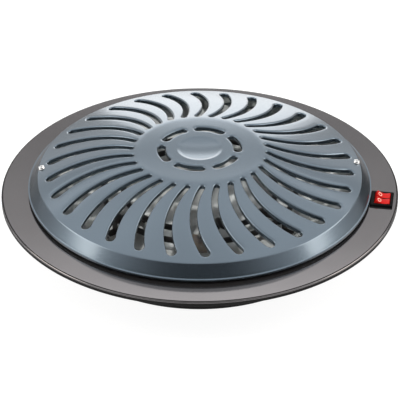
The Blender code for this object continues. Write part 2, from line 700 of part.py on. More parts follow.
def make_body(rim_plane, surfaces):
    """The pressed bowl with its flange, and the holes for rivets, feet, wires, gland and air."""
    corner = (BODY_RADIUS - BODY_CORNER, BODY_FLOOR + BODY_CORNER)
    outline = [(BODY_FLANGE_RADIUS, BODY_TOP), (BODY_FLANGE_RADIUS, BODY_TOP - BODY_SHEET)]
    outline += [(BODY_RADIUS, BODY_TOP - BODY_SHEET)]
    outline += arc(corner, BODY_CORNER, 0.0, -math.pi / 2, 3)
    outline += [(0.0, BODY_FLOOR), (0.0, FLOOR_TOP)]
    outline += arc(corner, BODY_CORNER - BODY_SHEET, -math.pi / 2, 0.0, 3)
    outline += [(BODY_RADIUS - BODY_SHEET, BODY_TOP)]
    mesh = turned("body_bowl", outline, SHEET_STEPS)
    body = placed("body_bowl", mesh, surfaces["black_paint"], rim_plane)
    frames = [spot(RIVET_CIRCLE, angle, BODY_TOP) for angle in BRACKET_ANGLES.values()]
    wide = RIVET_SHANK + HOLE_CLEARANCE
    combine(body, cylinders("body_rivet_holes", frames, wide, -OVERRUN, OVERRUN, TINY_STEPS))
    frames = [spot(FOOT_CIRCLE, angle, BODY_FLOOR) for angle in foot_angles()]
    wide = FOOT_STEM + HOLE_CLEARANCE
    combine(body, cylinders("body_foot_holes", frames, wide, -OVERRUN, OVERRUN, TINY_STEPS))
    combine(body, vent_cutter())
    half_width, half_height = window_half_sizes()
    low = (BODY_RADIUS - OVERRUN, -half_width, LANE_LEVEL - half_height)
    high = (BODY_RADIUS + OVERRUN, half_width, LANE_LEVEL + half_height)
    window = boxes("body_wire_window", [(low, high)])
    window.transform(Matrix.Rotation(SWITCH_ANGLE, 4, "Z"))
    combine(body, window)
    wide = GLAND_BARREL + HOLE_CLEARANCE
    frame = Matrix.Translation((0.0, BODY_RADIUS, gland_height())) @ Matrix.Rotation(-math.pi / 2, 4, "X")
    combine(body, cylinders("body_gland_hole", [frame], wide, -OVERRUN, OVERRUN))


def foot_angles():
    """Angles of the feet, evenly round the body."""
    return [math.pi / FOOT_COUNT + 2 * math.pi * i / FOOT_COUNT for i in range(FOOT_COUNT)]


def vent_cutter():
    """Radial air slots through the body's floor."""
    bm = bmesh.new()
    size = Matrix.Diagonal((VENT_LENGTH, VENT_WIDTH, 2 * OVERRUN, 1.0))
    for i in range(VENT_COUNT):
        angle = VENT_PHASE + 2 * math.pi * i / VENT_COUNT
        middle = spot(VENT_START + VENT_LENGTH / 2, angle, BODY_FLOOR)
        bmesh.ops.create_cube(bm, size=1.0, matrix=middle @ size)
    return mesh_from("body_vents", bm)


def gland_height():
    """Height of the cord gland's axis in the body's back wall."""
    return lerp(BODY_TOP, BODY_FLOOR, GLAND_SHARE)


def window_half_sizes():
    """Half width and half height of the wire window in the body's wall."""
    half_width, half_height = grommet_bore()
    grow = GROMMET_WALL + HOLE_CLEARANCE
    return half_width + grow, half_height + grow


def grommet_bore():
    """Half width and half height of the way through the grommet, round four wires side by side."""
    return WINDOW_LANE + WIRE_RADIUS + SEAT_GAP, WIRE_RADIUS + 2 * SEAT_GAP


def make_feet(rim_plane, surfaces):
    """Four rubber feet pushed through the body's floor."""
    top = BODY_FLOOR - SEAT_GAP
    catch = FLOOR_TOP + SEAT_GAP
    outline = [
        (0.0, catch + FOOT_BARB_HEIGHT),
        (FOOT_STEM, catch + FOOT_BARB_HEIGHT),
        (FOOT_STEM + FOOT_BARB, catch),
        (FOOT_STEM, catch),
        (FOOT_STEM, top),
        (FOOT_RADIUS, top),
        (FOOT_RADIUS, -RIM_HEIGHT + FOOT_STAND / 4),
        (FOOT_RADIUS - FOOT_STAND / 4, -RIM_HEIGHT),
        (0.0, -RIM_HEIGHT),
    ]
    mesh = turned("foot", outline, SMALL_STEPS)
    for i, angle in enumerate(foot_angles(), 1):
        place = polar(FOOT_CIRCLE, angle)
        placed(f"foot_{i}", mesh, surfaces["rubber"], rim_plane, place)


def leg_places():
    """Places of the four tube legs: outer right and left, then inner right and left."""
    return [
        polar(OUTER_RING, TERMINAL_ANGLE + OUTER_GAP),
        polar(OUTER_RING, TERMINAL_ANGLE - OUTER_GAP),
        polar(INNER_LEG_CIRCLE, TERMINAL_ANGLE + INNER_GAP),
        polar(INNER_LEG_CIRCLE, TERMINAL_ANGLE - INNER_GAP),
    ]


def make_reflector(rim_plane, surfaces):
    """The bright dish under the elements, pierced for the tube legs, the screws and the rivets."""
    outer = BODY_FLANGE_RADIUS - REFLECTOR_STEP
    outline = [
        (outer, REFLECTOR_TOP),
        (outer, SEAT_GAP),
        (REFLECTOR_MOUTH, SEAT_GAP),
        (REFLECTOR_FLOOR_RADIUS, -REFLECTOR_DEPTH),
        (0.0, -REFLECTOR_DEPTH),
        (0.0, DISH_TOP),
        (REFLECTOR_FLOOR_RADIUS - REFLECTOR_SHEET / 2, DISH_TOP),
        (REFLECTOR_MOUTH - REFLECTOR_SHEET / 2, REFLECTOR_TOP),
    ]
    mesh = turned("reflector_dish", outline, SHEET_STEPS)
    dish = placed("reflector_dish", mesh, surfaces["galvanised"], rim_plane)
    frames = [Matrix.Translation(place) for place in leg_places()]
    wide = TUBE_RADIUS + 2 * HOLE_CLEARANCE
    low, high = -REFLECTOR_DEPTH - OVERRUN, -REFLECTOR_DEPTH + OVERRUN
    combine(dish, cylinders("reflector_leg_holes", frames, wide, low, high, TINY_STEPS))
    frames = [spot(bracket_screw_circle(), angle) for angle in ELEMENT_BRACKET_ANGLES]
    frames.append(spot(plate_screw_circle(), TERMINAL_ANGLE))
    wide = SMALL_SCREW_SHANK + HOLE_CLEARANCE
    combine(dish, cylinders("reflector_screw_holes", frames, wide, low, high, TINY_STEPS))
    frames = [spot(RIVET_CIRCLE, angle) for angle in BRACKET_ANGLES.values()]
    wide = RIVET_SHANK + HOLE_CLEARANCE
    combine(dish, cylinders("reflector_rivet_holes", frames, wide, -OVERRUN, OVERRUN, TINY_STEPS))


def outer_route():
    """Middle line of the outer element: down legs at its ends, a full ring between them."""
    turn = TUBE_BEND / OUTER_RING
    first = TERMINAL_ANGLE + OUTER_GAP
    last = TERMINAL_ANGLE + 2 * math.pi - OUTER_GAP
    rise = [polar(OUTER_RING, first, LEG_END)]
    for i in range(BEND_POINTS + 1):
        a = math.pi / 2 * i / BEND_POINTS
        height = -ELEMENT_DROP - TUBE_BEND * (1 - math.sin(a))
        rise.append(polar(OUTER_RING, first + turn * (1 - math.cos(a)), height))
    steps = [lerp(first + turn, last - turn, i / RING_POINTS) for i in range(1, RING_POINTS)]
    ring = [polar(OUTER_RING, angle, -ELEMENT_DROP) for angle in steps]
    mirror = first + last
    fall = [polar(OUTER_RING, mirror - math.atan2(p.y, p.x), p.z) for p in reversed(rise)]
    return rise + ring + fall


def inner_route():
    """Middle line of the inner element: its ends turn in towards the middle and then down."""
    first = TERMINAL_ANGLE + INNER_GAP
    last = TERMINAL_ANGLE + 2 * math.pi - INNER_GAP
    rise = [polar(INNER_LEG_CIRCLE, first, LEG_END)]
    for i in range(BEND_POINTS + 1):
        a = math.pi / 2 * i / BEND_POINTS
        height = -ELEMENT_DROP - TUBE_BEND * (1 - math.sin(a))
        rise.append(polar(INNER_LEG_CIRCLE + TUBE_BEND * (1 - math.cos(a)), first, height))
    for i in range(BEND_POINTS + 1):
        a = math.pi / 2 * i / BEND_POINTS
        aside = TUBE_BEND * (1 - math.cos(a)) / INNER_RING
        rise.append(polar(INNER_RING - TUBE_BEND * (1 - math.sin(a)), first + aside, -ELEMENT_DROP))
    turn = TUBE_BEND / INNER_RING
    steps = [lerp(first + turn, last - turn, i / RING_POINTS) for i in range(1, RING_POINTS)]
    ring = [polar(INNER_RING, angle, -ELEMENT_DROP) for angle in steps]
    mirror = first + last
    fall = [polar(p.xy.length, mirror - math.atan2(p.y, p.x), p.z) for p in reversed(rise)]
    return rise + ring + fall


def make_elements(rim_plane, surfaces):
    """Two sheathed tube elements, each end closed by a ceramic bush round its terminal pin."""
    tube("outer_element", outer_route(), TUBE_RADIUS, 2, surfaces["sheath"], rim_plane)
    tube("inner_element", inner_route(), TUBE_RADIUS, 2, surfaces["sheath"], rim_plane)
    start = LEG_END - SEAT_GAP
    bore = PIN_RADIUS + HOLE_CLEARANCE
    bush = [(bore, start), (bore, BUSH_END), (BUSH_RADIUS, BUSH_END), (BUSH_RADIUS, start)]
    bush_mesh = turned("element_bush", bush, TINY_STEPS)
    pin = [(0.0, start), (PIN_RADIUS, start), (PIN_RADIUS, PIN_END), (0.0, PIN_END)]
    pin_mesh = turned("element_pin", pin, TINY_STEPS)
    for i, place in enumerate(leg_places(), 1):
        placed(f"element_bush_{i}", bush_mesh, surfaces["ceramic"], rim_plane, place)
        placed(f"element_pin_{i}", pin_mesh, surfaces["zinc"], rim_plane, place)


def eye_radius():
    """Outer radius of the eye that a tube passes through."""
    return TUBE_RADIUS + EYE_CLEARANCE + EYE_WALL


def bracket_riser():
    """Radius of the inner face of an element bracket's inner riser."""
    return INNER_RING - eye_radius() - ELEMENT_BRACKET_STEP


def bracket_screw_circle():
    """Radius of the circle on which the element bracket screws stand."""
    return bracket_riser() - ELEMENT_BRACKET_FOOT / 2


def element_bracket_outline():
    """Side view of an element bracket: two feet, two risers and an eye round each tube."""
    level, half, eye = -ELEMENT_DROP, EYE_WALL / 2, eye_radius()
    floor = DISH_TOP + SEAT_GAP
    step = floor + EYE_WALL
    inner, outer = bracket_riser(), OUTER_RING + eye + ELEMENT_BRACKET_STEP
    dip = math.asin(half / eye)
    lower, upper = [], []
    for ring in (INNER_RING, OUTER_RING):
        lower += arc((ring, level), eye, math.pi + dip, 2 * math.pi - dip, EYE_POINTS)
    for ring in (OUTER_RING, INNER_RING):
        upper += arc((ring, level), eye, dip, math.pi - dip, EYE_POINTS)
    start = [(inner - ELEMENT_BRACKET_FOOT, floor), (inner + EYE_WALL, floor)]
    start.append((inner + EYE_WALL, level - half))
    far = [(outer - EYE_WALL, level - half), (outer - EYE_WALL, floor)]
    far.append((outer + ELEMENT_BRACKET_FOOT, floor))
    back = [(outer + ELEMENT_BRACKET_FOOT, step), (outer, step), (outer, level + half)]
    end = [(inner, level + half), (inner, step), (inner - ELEMENT_BRACKET_FOOT, step)]
    return start + lower + far + back + upper + end


def small_screw(name):
    """A small pan-head screw, its seat at height zero."""
    outline = [
        (0.0, SMALL_SCREW_HEIGHT),
        (SMALL_SCREW_HEAD * 0.7, SMALL_SCREW_HEIGHT),
        (SMALL_SCREW_HEAD, SMALL_SCREW_HEIGHT / 2),
        (SMALL_SCREW_HEAD, 0.0),
        (SMALL_SCREW_SHANK, 0.0),
        (SMALL_SCREW_SHANK, -SMALL_SCREW_LENGTH),
        (0.0, -SMALL_SCREW_LENGTH),
    ]
    return turned(name, outline, TINY_STEPS)


def make_element_brackets(rim_plane, surfaces):
    """Three brackets that carry both elements over the dish, each held by one screw."""
    bore = TUBE_RADIUS + EYE_CLEARANCE
    eyes = [circle(bore, SMALL_STEPS, (ring, -ELEMENT_DROP)) for ring in (INNER_RING, OUTER_RING)]
    half = ELEMENT_BRACKET_WIDTH / 2
    wide = SMALL_SCREW_SHANK + HOLE_CLEARANCE
    screw_mesh = small_screw("element_bracket_screw")
    base = DISH_TOP + EYE_WALL + 2 * SEAT_GAP
    for i, angle in enumerate(ELEMENT_BRACKET_ANGLES, 1):
        name = f"element_bracket_{i}"
        mesh = extruded(name, [element_bracket_outline(), *eyes], -half, half, "Y")
        bracket = placed(name, mesh, surfaces["burnt_steel"], rim_plane, rotation=(0.0, 0.0, angle))
        frame = Matrix.Translation((bracket_screw_circle(), 0.0, DISH_TOP))
        combine(bracket, cylinders(name + "_hole", [frame], wide, -OVERRUN, OVERRUN, TINY_STEPS))
        place = polar(bracket_screw_circle(), angle, base)
        placed(f"element_bracket_screw_{i}", screw_mesh, surfaces["zinc"], rim_plane, place)


def plate_screw_circle():
    """Radius at which the cut-out's lug and plate are screwed to the dish."""
    return CUTOUT_CIRCLE - CUTOUT_LUG


def make_cutout(rim_plane, surfaces):
    """The thermal cut-out under the dish, the plate over it and the screw that holds both."""
    turn = (0.0, 0.0, TERMINAL_ANGLE)
    inner = plate_screw_circle() - PLATE_MARGIN
    outer = CUTOUT_CIRCLE + CUTOUT_RADIUS + PLATE_MARGIN
    half = PLATE_WIDTH / 2
    wide = SMALL_SCREW_SHANK + HOLE_CLEARANCE
    hole = circle(wide, TINY_STEPS, (plate_screw_circle(), 0.0))
    base = DISH_TOP + SEAT_GAP
    plate_loops = [rectangle(inner, outer, -half, half), hole]
    mesh = extruded("cutout_plate", plate_loops, base, base + PLATE_SHEET)
    placed("cutout_plate", mesh, surfaces["heat_tint"], rim_plane, rotation=turn)
    top = -REFLECTOR_DEPTH - SEAT_GAP
    lug_half = CUTOUT_RADIUS * CUTOUT_LUG_WIDTH_SHARE
    lug_loops = [rectangle(inner, CUTOUT_CIRCLE, -lug_half, lug_half), hole]
    mesh = extruded("thermal_cutout", lug_loops, top - CUTOUT_LUG_SHEET, top)
    cutout = placed("thermal_cutout", mesh, surfaces["bakelite"], rim_plane, rotation=turn)
    frame = Matrix.Translation((CUTOUT_CIRCLE, 0.0, 0.0))
    low = top - CUTOUT_HEIGHT
    combine(cutout, cylinders("cutout_case", [frame], CUTOUT_RADIUS, low, top), "UNION")
    blades = []
    for aside in (-CUTOUT_TAB_SPREAD, CUTOUT_TAB_SPREAD):
        a, b = CUTOUT_CIRCLE - TAB_WIDTH / 2, CUTOUT_CIRCLE + TAB_WIDTH / 2
        near, far = aside - TAB_SHEET / 2, aside + TAB_SHEET / 2
        blades.append(((a, near, PIN_END), (b, far, low + CUTOUT_LUG_SHEET)))
    combine(cutout, boxes("cutout_blades", blades), "UNION")
    place = polar(plate_screw_circle(), TERMINAL_ANGLE, base + PLATE_SHEET + SEAT_GAP)
    placed("cutout_screw", small_screw("cutout_screw"), surfaces["zinc"], rim_plane, place)


def rocker_outline():
    """Side view of a rocker about its pivot: two faces that meet in a dip, ends on the swing circle."""
    dip, crown, waist, foot = (ROCKER_SWING * share for share in ROCKER_HEIGHT_SHARES)
    high = math.asin(crown / ROCKER_SWING)
    low = math.asin(waist / ROCKER_SWING)
    near, far = arc((0.0, 0.0), ROCKER_SWING, low, high, 3), []
    for x, z in reversed(near):
        far.append((-x, z))
    base = ROCKER_SWING * ROCKER_FOOT_SHARE
    return [(0.0, dip), *far, (-base, foot), (base, foot), *near]


def make_switch(rim_plane, surfaces):
    """The twin rocker switch, its tabs, its cover and the grommet that its wires pass."""
    ray = seat("switch_ray", rim_plane, rotation=(0.0, 0.0, SWITCH_ANGLE))
    nest = seat("switch_seat", ray, (SWITCH_RADIUS, 0.0, 0.0))
    half_length, half_width = BEZEL_LENGTH / 2, BEZEL_WIDTH / 2
    top = SEAT_GAP + BEZEL_HEIGHT
    sections = [
        (SWITCH_HALF_LENGTH, SWITCH_HALF_WIDTH, -SWITCH_DEPTH),
        (SWITCH_HALF_LENGTH, SWITCH_HALF_WIDTH, SEAT_GAP),
        (half_length, half_width, SEAT_GAP),
        (half_length, half_width, top - BEZEL_CHAMFER),
        (half_length - BEZEL_CHAMFER, half_width - BEZEL_CHAMFER, top),
    ]
    body = placed("switch_body", lofted("switch_body", sections), surfaces["black_plastic"], nest)
    pockets = []
    for near, far in ((ROCKER_RIB / 2, POCKET_HALF_WIDTH), (-POCKET_HALF_WIDTH, -ROCKER_RIB / 2)):
        low = (-POCKET_HALF_LENGTH, near, -ROCKER_POCKET)
        pockets.append((low, (POCKET_HALF_LENGTH, far, top + OVERRUN)))
    combine(body, boxes("switch_pockets", pockets))
    pivot = Matrix.Translation((0.0, 0.0, -PIVOT_DEPTH)) @ Matrix.Rotation(-math.pi / 2, 4, "X")
    reach = POCKET_HALF_WIDTH + PIVOT_HOLE_DEPTH
    wide = PIVOT_RADIUS + PIVOT_CLEARANCE
    combine(body, cylinders("switch_pivot_hole", [pivot], wide, -reach, reach))
    make_rockers(nest, surfaces)
    tabs = [(-TAB_OFFSET, -1), (-TAB_OFFSET, 1), (TAB_OFFSET, -1), (TAB_OFFSET, 1)]
    low = (-TAB_WIDTH / 2, -TAB_SHEET / 2, TAB_TOP - TAB_LENGTH)
    tab_mesh = boxes("switch_tab", [(low, (TAB_WIDTH / 2, TAB_SHEET / 2, TAB_TOP))])
    for i, (along, side) in enumerate(tabs, 1):
        placed(f"switch_tab_{i}", tab_mesh, surfaces["brass"], nest, (along, side * ROCKER_OFFSET, 0.0))
    make_cover(ray, surfaces)


def make_rockers(nest, surfaces):
    """Two rockers side by side, each tipped outer end down about its own trunnions."""
    half = ROCKER_WIDTH / 2
    reach = half + ROCKER_CLEARANCE + PIVOT_REACH
    trunnion = Matrix.Rotation(-math.pi / 2, 4, "X")
    for name, side in (("rocker_front", -1), ("rocker_back", 1)):
        mesh = extruded(name, [rocker_outline()], -half, half, "Y")
        place = (0.0, side * ROCKER_OFFSET, -PIVOT_DEPTH)
        rocker = placed(name, mesh, surfaces["red_plastic"], nest, place, (0.0, ROCKER_TILT, 0.0))
        combine(rocker, cylinders(name + "_trunnions", [trunnion], PIVOT_RADIUS, -reach, reach), "UNION")


def make_cover(ray, surfaces):
    """The duct-shaped cover from the body's wall out round the switch, its screws and the grommet."""
    inner, outer = BODY_RADIUS + SEAT_GAP, RIM_RADIUS - LIP_ROLL - COVER_WALL - SEAT_GAP
    top = BODY_TOP - BODY_SHEET - SEAT_GAP
    well = TAB_TOP - TAB_LENGTH - COVER_ROOM
    floor = well - COVER_WALL
    side = [(inner, top), (inner, floor), (outer - COVER_CHAMFER, floor)]
    side += [(outer, floor + COVER_CHAMFER), (outer, top)]
    half = cover_half_width()
    mesh = extruded("switch_cover", [side], -half, half, "Y")
    cover = placed("switch_cover", mesh, surfaces["black_plastic"], ray)
    places = cover_screws()
    ears = []
    for place in places:
        edge = half if place.y > 0 else -half
        tip = edge * (half + COVER_EAR) / half
        back = edge * (half - COVER_WALL / 2) / half
        low = (place.x - COVER_EAR / 2, min(back, tip), top - COVER_WALL)
        ears.append((low, (place.x + COVER_EAR / 2, max(back, tip), top)))
    combine(cover, boxes("cover_ears", ears), "UNION")
    room = half - COVER_WALL
    far = outer - COVER_WALL
    hollow = [(inner - OVERRUN, top + OVERRUN), (inner - OVERRUN, well), (outer - COVER_CHAMFER, well)]
    hollow += [(far, floor + COVER_CHAMFER), (far, top + OVERRUN)]
    combine(cover, extruded("cover_hollow", [hollow], -room, room, "Y"))
    wide = SMALL_SCREW_SHANK + HOLE_CLEARANCE
    frames = [Matrix.Translation(place) for place in places]
    combine(cover, cylinders("cover_screw_holes", frames, wide, top - OVERRUN, top + OVERRUN, TINY_STEPS))
    screw_mesh = small_screw("cover_screw")
    seat_height = top - COVER_WALL - SEAT_GAP
    flip = (math.pi, 0.0, 0.0)
    for i, place in enumerate(places, 1):
        at = (place.x, place.y, seat_height)
        placed(f"cover_screw_{i}", screw_mesh, surfaces["zinc"], ray, at, flip)
    bore_y, bore_z = grommet_bore()
    wall_y, wall_z = bore_y + GROMMET_WALL, bore_z + GROMMET_WALL
    edge_y, edge_z = wall_y + GROMMET_FLANGE, wall_z + GROMMET_FLANGE
    face = BODY_RADIUS + SEAT_GAP
    start = BODY_RADIUS - BODY_SHEET - GROMMET_LENGTH
    sections = [(wall_z, wall_y, start), (wall_z, wall_y, face), (edge_z, edge_y, face)]
    sections += [(edge_z, edge_y, face + GROMMET_WALL), (bore_z, bore_y, face + GROMMET_WALL)]
    sections += [(bore_z, bore_y, start)]
    mesh = lofted("wire_grommet", sections, closed=True)
    placed("wire_grommet", mesh, surfaces["rubber"], ray, (0.0, 0.0, LANE_LEVEL), (0.0, math.pi / 2, 0.0))


def make_gland(rim_plane, surfaces):
    """The cord gland through the body's back wall, and its nut inside."""
    face = SEAT_GAP + GLAND_FLANGE_SHEET
    outline = [
        (GLAND_BORE, -GLAND_BARREL_LENGTH),
        (GLAND_BARREL, -GLAND_BARREL_LENGTH),
        (GLAND_BARREL, SEAT_GAP),
        (GLAND_FLANGE, SEAT_GAP),
        (GLAND_FLANGE, face),
        (GLAND_NOSE, face),
        (GLAND_NOSE - GLAND_TAPER, face + GLAND_NOSE_LENGTH),
        (GLAND_BORE, face + GLAND_NOSE_LENGTH),
    ]
    place = (0.0, BODY_RADIUS, gland_height())
    turn = (-math.pi / 2, 0.0, 0.0)
    mesh = turned("cord_gland", outline, SMALL_STEPS)
    placed("cord_gland", mesh, surfaces["black_plastic"], rim_plane, place, turn)
    bore = GLAND_BARREL + HOLE_CLEARANCE
    high = -BODY_SHEET - 2 * SEAT_GAP
    loops = [circle(GLAND_NUT, 6), circle(bore, SMALL_STEPS)]
    mesh = extruded("gland_nut", loops, high - GLAND_NUT_SHEET, high)
    placed("gland_nut", mesh, surfaces["black_plastic"], rim_plane, place, turn)


def block_place():
    """Where the terminal block stands on the body's floor."""
    return Vector((0.0, BODY_RADIUS * BLOCK_SHARE, FLOOR_TOP + SEAT_GAP))


def stud_place():
    """Where the earth stud stands on the body's floor, beside the terminal block."""
    return block_place() + Vector((BLOCK_LENGTH / 2 + STUD_REACH, -STUD_SETBACK, 0.0))


def make_terminals(rim_plane, surfaces):
    """The ceramic terminal block and the earth stud on the body's floor."""
    half_x, half_y = BLOCK_LENGTH / 2, BLOCK_WIDTH / 2
    sections = [
        (half_x, half_y, 0.0),
        (half_x, half_y, BLOCK_HEIGHT - BLOCK_CHAMFER),
        (half_x, half_y - BLOCK_CHAMFER, BLOCK_HEIGHT),
    ]
    mesh = lofted("terminal_block", sections)
    block = placed("terminal_block", mesh, surfaces["ceramic"], rim_plane, block_place())
    grooves = []
    for i in range(1, BLOCK_POLES):
        x = lerp(-half_x, half_x, i / BLOCK_POLES)
        low = (x - BLOCK_GROOVE / 2, -half_y - OVERRUN, BLOCK_HEIGHT * BLOCK_GROOVE_SHARE)
        grooves.append((low, (x + BLOCK_GROOVE / 2, half_y + OVERRUN, BLOCK_HEIGHT + OVERRUN)))
    combine(block, boxes("block_grooves", grooves))
    nut = WIRE_LEVEL - FLOOR_TOP - SEAT_GAP - WIRE_RADIUS
    stud = [
        (0.0, STUD_HEIGHT),
        (STUD_RADIUS, STUD_HEIGHT),
        (STUD_RADIUS, nut + 2 * WIRE_RADIUS),
        (STUD_NUT, nut + 2 * WIRE_RADIUS),
        (STUD_NUT, nut),
        (STUD_RADIUS, nut),
        (STUD_RADIUS, STUD_FLANGE_SHEET),
        (STUD_FLANGE, STUD_FLANGE_SHEET),
        (STUD_FLANGE, 0.0),
        (0.0, 0.0),
    ]
    mesh = turned("earth_stud", stud, TINY_STEPS)
    placed("earth_stud", mesh, surfaces["brass"], rim_plane, stud_place())


def smooth_route(knots):
    """Points along a smooth curve through the knots."""
    padded = [2 * knots[0] - knots[1], *knots, 2 * knots[-1] - knots[-2]]
    points = []
    for a, b, c, d in zip(padded, padded[1:], padded[2:], padded[3:]):
        steps = max(1, round((c - b).length / WIRE_STEP))
        for i in range(steps):
            t = i / steps
            bend = (2 * a - 5 * b + 4 * c - d) * t * t + (3 * b - a - 3 * c + d) * t * t * t
            points.append(b + ((c - a) * t + bend) / 2)
    return points + [knots[-1]]


def riser(place):
    """Wire knots from just under a pin half way down to the level at which the wires lie."""
    top = PIN_END - SEAT_GAP
    return [Vector((place.x, place.y, height)) for height in (top, (top + WIRE_LEVEL) / 2)]


def lane(along, side, beyond):
    """Wire knots from beside a switch tab to the inside of the wire window."""
    aside = side * ROCKER_OFFSET + (beyond * LANE_STEP)
    ray = Matrix.Rotation(SWITCH_ANGLE, 4, "Z")
    inside = BODY_RADIUS - BODY_SHEET - GROMMET_LENGTH - OVERRUN
    spots = (SWITCH_RADIUS + along, SWITCH_RADIUS - SWITCH_HALF_LENGTH, BODY_RADIUS, inside)
    return [ray @ Vector((x, aside, LANE_LEVEL)) for x in spots]


def floor_knot(share, degrees):
    """A wire knot over the body's floor, at a share of the body's radius."""
    return polar(BODY_RADIUS * share, math.radians(degrees), WIRE_LEVEL)


def pole(index):
    """The wire knots at the front of one pole of the terminal block."""
    place = block_place()
    x = lerp(-BLOCK_LENGTH / 2, BLOCK_LENGTH / 2, (index + 0.5) / BLOCK_POLES)
    y = place.y - BLOCK_WIDTH / 2 - SEAT_GAP
    return [Vector((x, y, WIRE_LEVEL)), Vector((x, y - WIRE_BEND, WIRE_LEVEL))]


def make_wires(rim_plane, surfaces):
    """Eight inner wires between the block, the cut-out, the elements, the switch and the earth stud."""
    outer_right, outer_left, inner_right, inner_left = leg_places()
    cut_left = polar(CUTOUT_CIRCLE, TERMINAL_ANGLE) + Vector((-CUTOUT_TAB_SPREAD, 0.0, 0.0))
    cut_right = polar(CUTOUT_CIRCLE, TERMINAL_ANGLE) + Vector((CUTOUT_TAB_SPREAD, 0.0, 0.0))
    earth = stud_place()
    earth_end = Vector((earth.x - STUD_NUT - SEAT_GAP, earth.y, WIRE_LEVEL))
    routes = {
        "neutral_outer": (
            "blue_wire",
            pole(0) + [floor_knot(0.62, 150), floor_knot(0.76, 190), floor_knot(0.84, 235)]
            + [floor_knot(0.76, 255)] + riser(outer_left)[::-1],
        ),
        "supply": (
            "brown_wire",
            pole(1) + [floor_knot(0.42, 145), floor_knot(0.5, 190), floor_knot(0.52, 225)]
            + riser(cut_left)[::-1],
        ),
        "neutral_inner": (
            "blue_wire",
            pole(2) + [floor_knot(0.2, 150), floor_knot(0.25, 220)] + riser(inner_left)[::-1],
        ),
        "neutral_lamps": (
            "blue_wire",
            pole(3) + [floor_knot(0.38, 35), floor_knot(0.7, 5)] + lane(TAB_OFFSET, 1, 1)[::-1],
        ),
        "earth": ("green_wire", pole(4) + [earth_end]),
        "live_inner": (
            "brown_wire",
            riser(inner_right) + [floor_knot(0.5, 322), floor_knot(0.76, 342)]
            + lane(-TAB_OFFSET, 1, -1)[::-1],
        ),
        "live_switch": (
            "brown_wire",
            riser(cut_right) + [floor_knot(0.6, 310), floor_knot(0.8, 335)]
            + lane(-TAB_OFFSET, -1, 1)[::-1],
        ),
        "live_outer": (
            "brown_wire",
            riser(outer_right) + [floor_knot(0.78, 303), floor_knot(0.86, 329)]
            + lane(TAB_OFFSET, -1, -1)[::-1],
        ),
    }
    for name, (surface, knots) in routes.items():
        tube("wire_" + name, smooth_route(knots), WIRE_RADIUS, 1, surfaces[surface], rim_plane)


def make_surfaces():
    """The finishes of the heater's pieces."""
    return {
        "slate": finish("slate", (0.13, 0.17, 0.2), 0.4, 0.6),
        "taupe": finish("taupe", (0.17, 0.155, 0.15), 0.45, 0.5),
        "black_paint": finish("black_paint", (0.03, 0.028, 0.028), 0.5, 0.0),
        "galvanised": finish("galvanised", (0.55, 0.56, 0.55), 0.35, 0.9),
        "chrome": finish("chrome", (0.8, 0.8, 0.8), 0.12, 1.0),
        "zinc": finish("zinc", (0.5, 0.5, 0.5), 0.4, 1.0),
        "burnt_steel": finish("burnt_steel", (0.09, 0.08, 0.075), 0.5, 0.9),
        "sheath": finish("sheath", (0.035, 0.032, 0.03), 0.5, 0.7),
        "heat_tint": finish("heat_tint", (0.35, 0.26, 0.18), 0.4, 0.8),
        "ceramic": finish("ceramic", (0.75, 0.73, 0.68), 0.3, 0.0),
        "bakelite": finish("bakelite", (0.04, 0.03, 0.025), 0.4, 0.0),
        "black_plastic": finish("black_plastic", (0.015, 0.015, 0.016), 0.35, 0.0),
        "red_plastic": finish("red_plastic", (0.65, 0.02, 0.015), 0.25, 0.0),
        "rubber": finish("rubber", (0.02, 0.02, 0.02), 0.8, 0.0),
        "brass": finish("brass", (0.6, 0.42, 0.16), 0.3, 1.0),
        "brown_wire": finish("brown_wire", (0.16, 0.07, 0.03), 0.5, 0.0),
        "blue_wire": finish("blue_wire", (0.03, 0.08, 0.3), 0.5, 0.0),
        "green_wire": finish("green_wire", (0.12, 0.3, 0.05), 0.5, 0.0),
    }


def main():
    """Clears the scene and builds the heater from its rim plane."""
    for old in list(bpy.data.objects):
        bpy.data.objects.remove(old)
    surfaces = make_surfaces()
    rim_plane = seat("rim_plane", None, (0.0, 0.0, RIM_HEIGHT))
    make_rim(rim_plane, surfaces)
    make_body(rim_plane, surfaces)
    make_feet(rim_plane, surfaces)
    make_reflector(rim_plane, surfaces)
    make_elements(rim_plane, surfaces)
    make_element_brackets(rim_plane, surfaces)
    make_cutout(rim_plane, surfaces)
    make_guard(rim_plane, surfaces)
    make_brackets(rim_plane, surfaces)
    make_switch(rim_plane, surfaces)
    make_gland(rim_plane, surfaces)
    make_terminals(rim_plane, surfaces)
    make_wires(rim_plane, surfaces)
    settle_cuts()


if __name__ == "__main__":
    main()
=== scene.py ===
"""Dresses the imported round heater: finer pieces, procedural finishes, studio light and camera.

Heights inside the classes are counted from the rim plane, the flat top of the brim. RIM_PLANE
carries that plane at its height above the floor.
"""

import logging
import math
from collections.abc import Callable, Iterable, Sequence
from dataclasses import dataclass, field
from enum import Enum
from typing import ClassVar

import bmesh
import bpy
from mathutils import Matrix, Vector


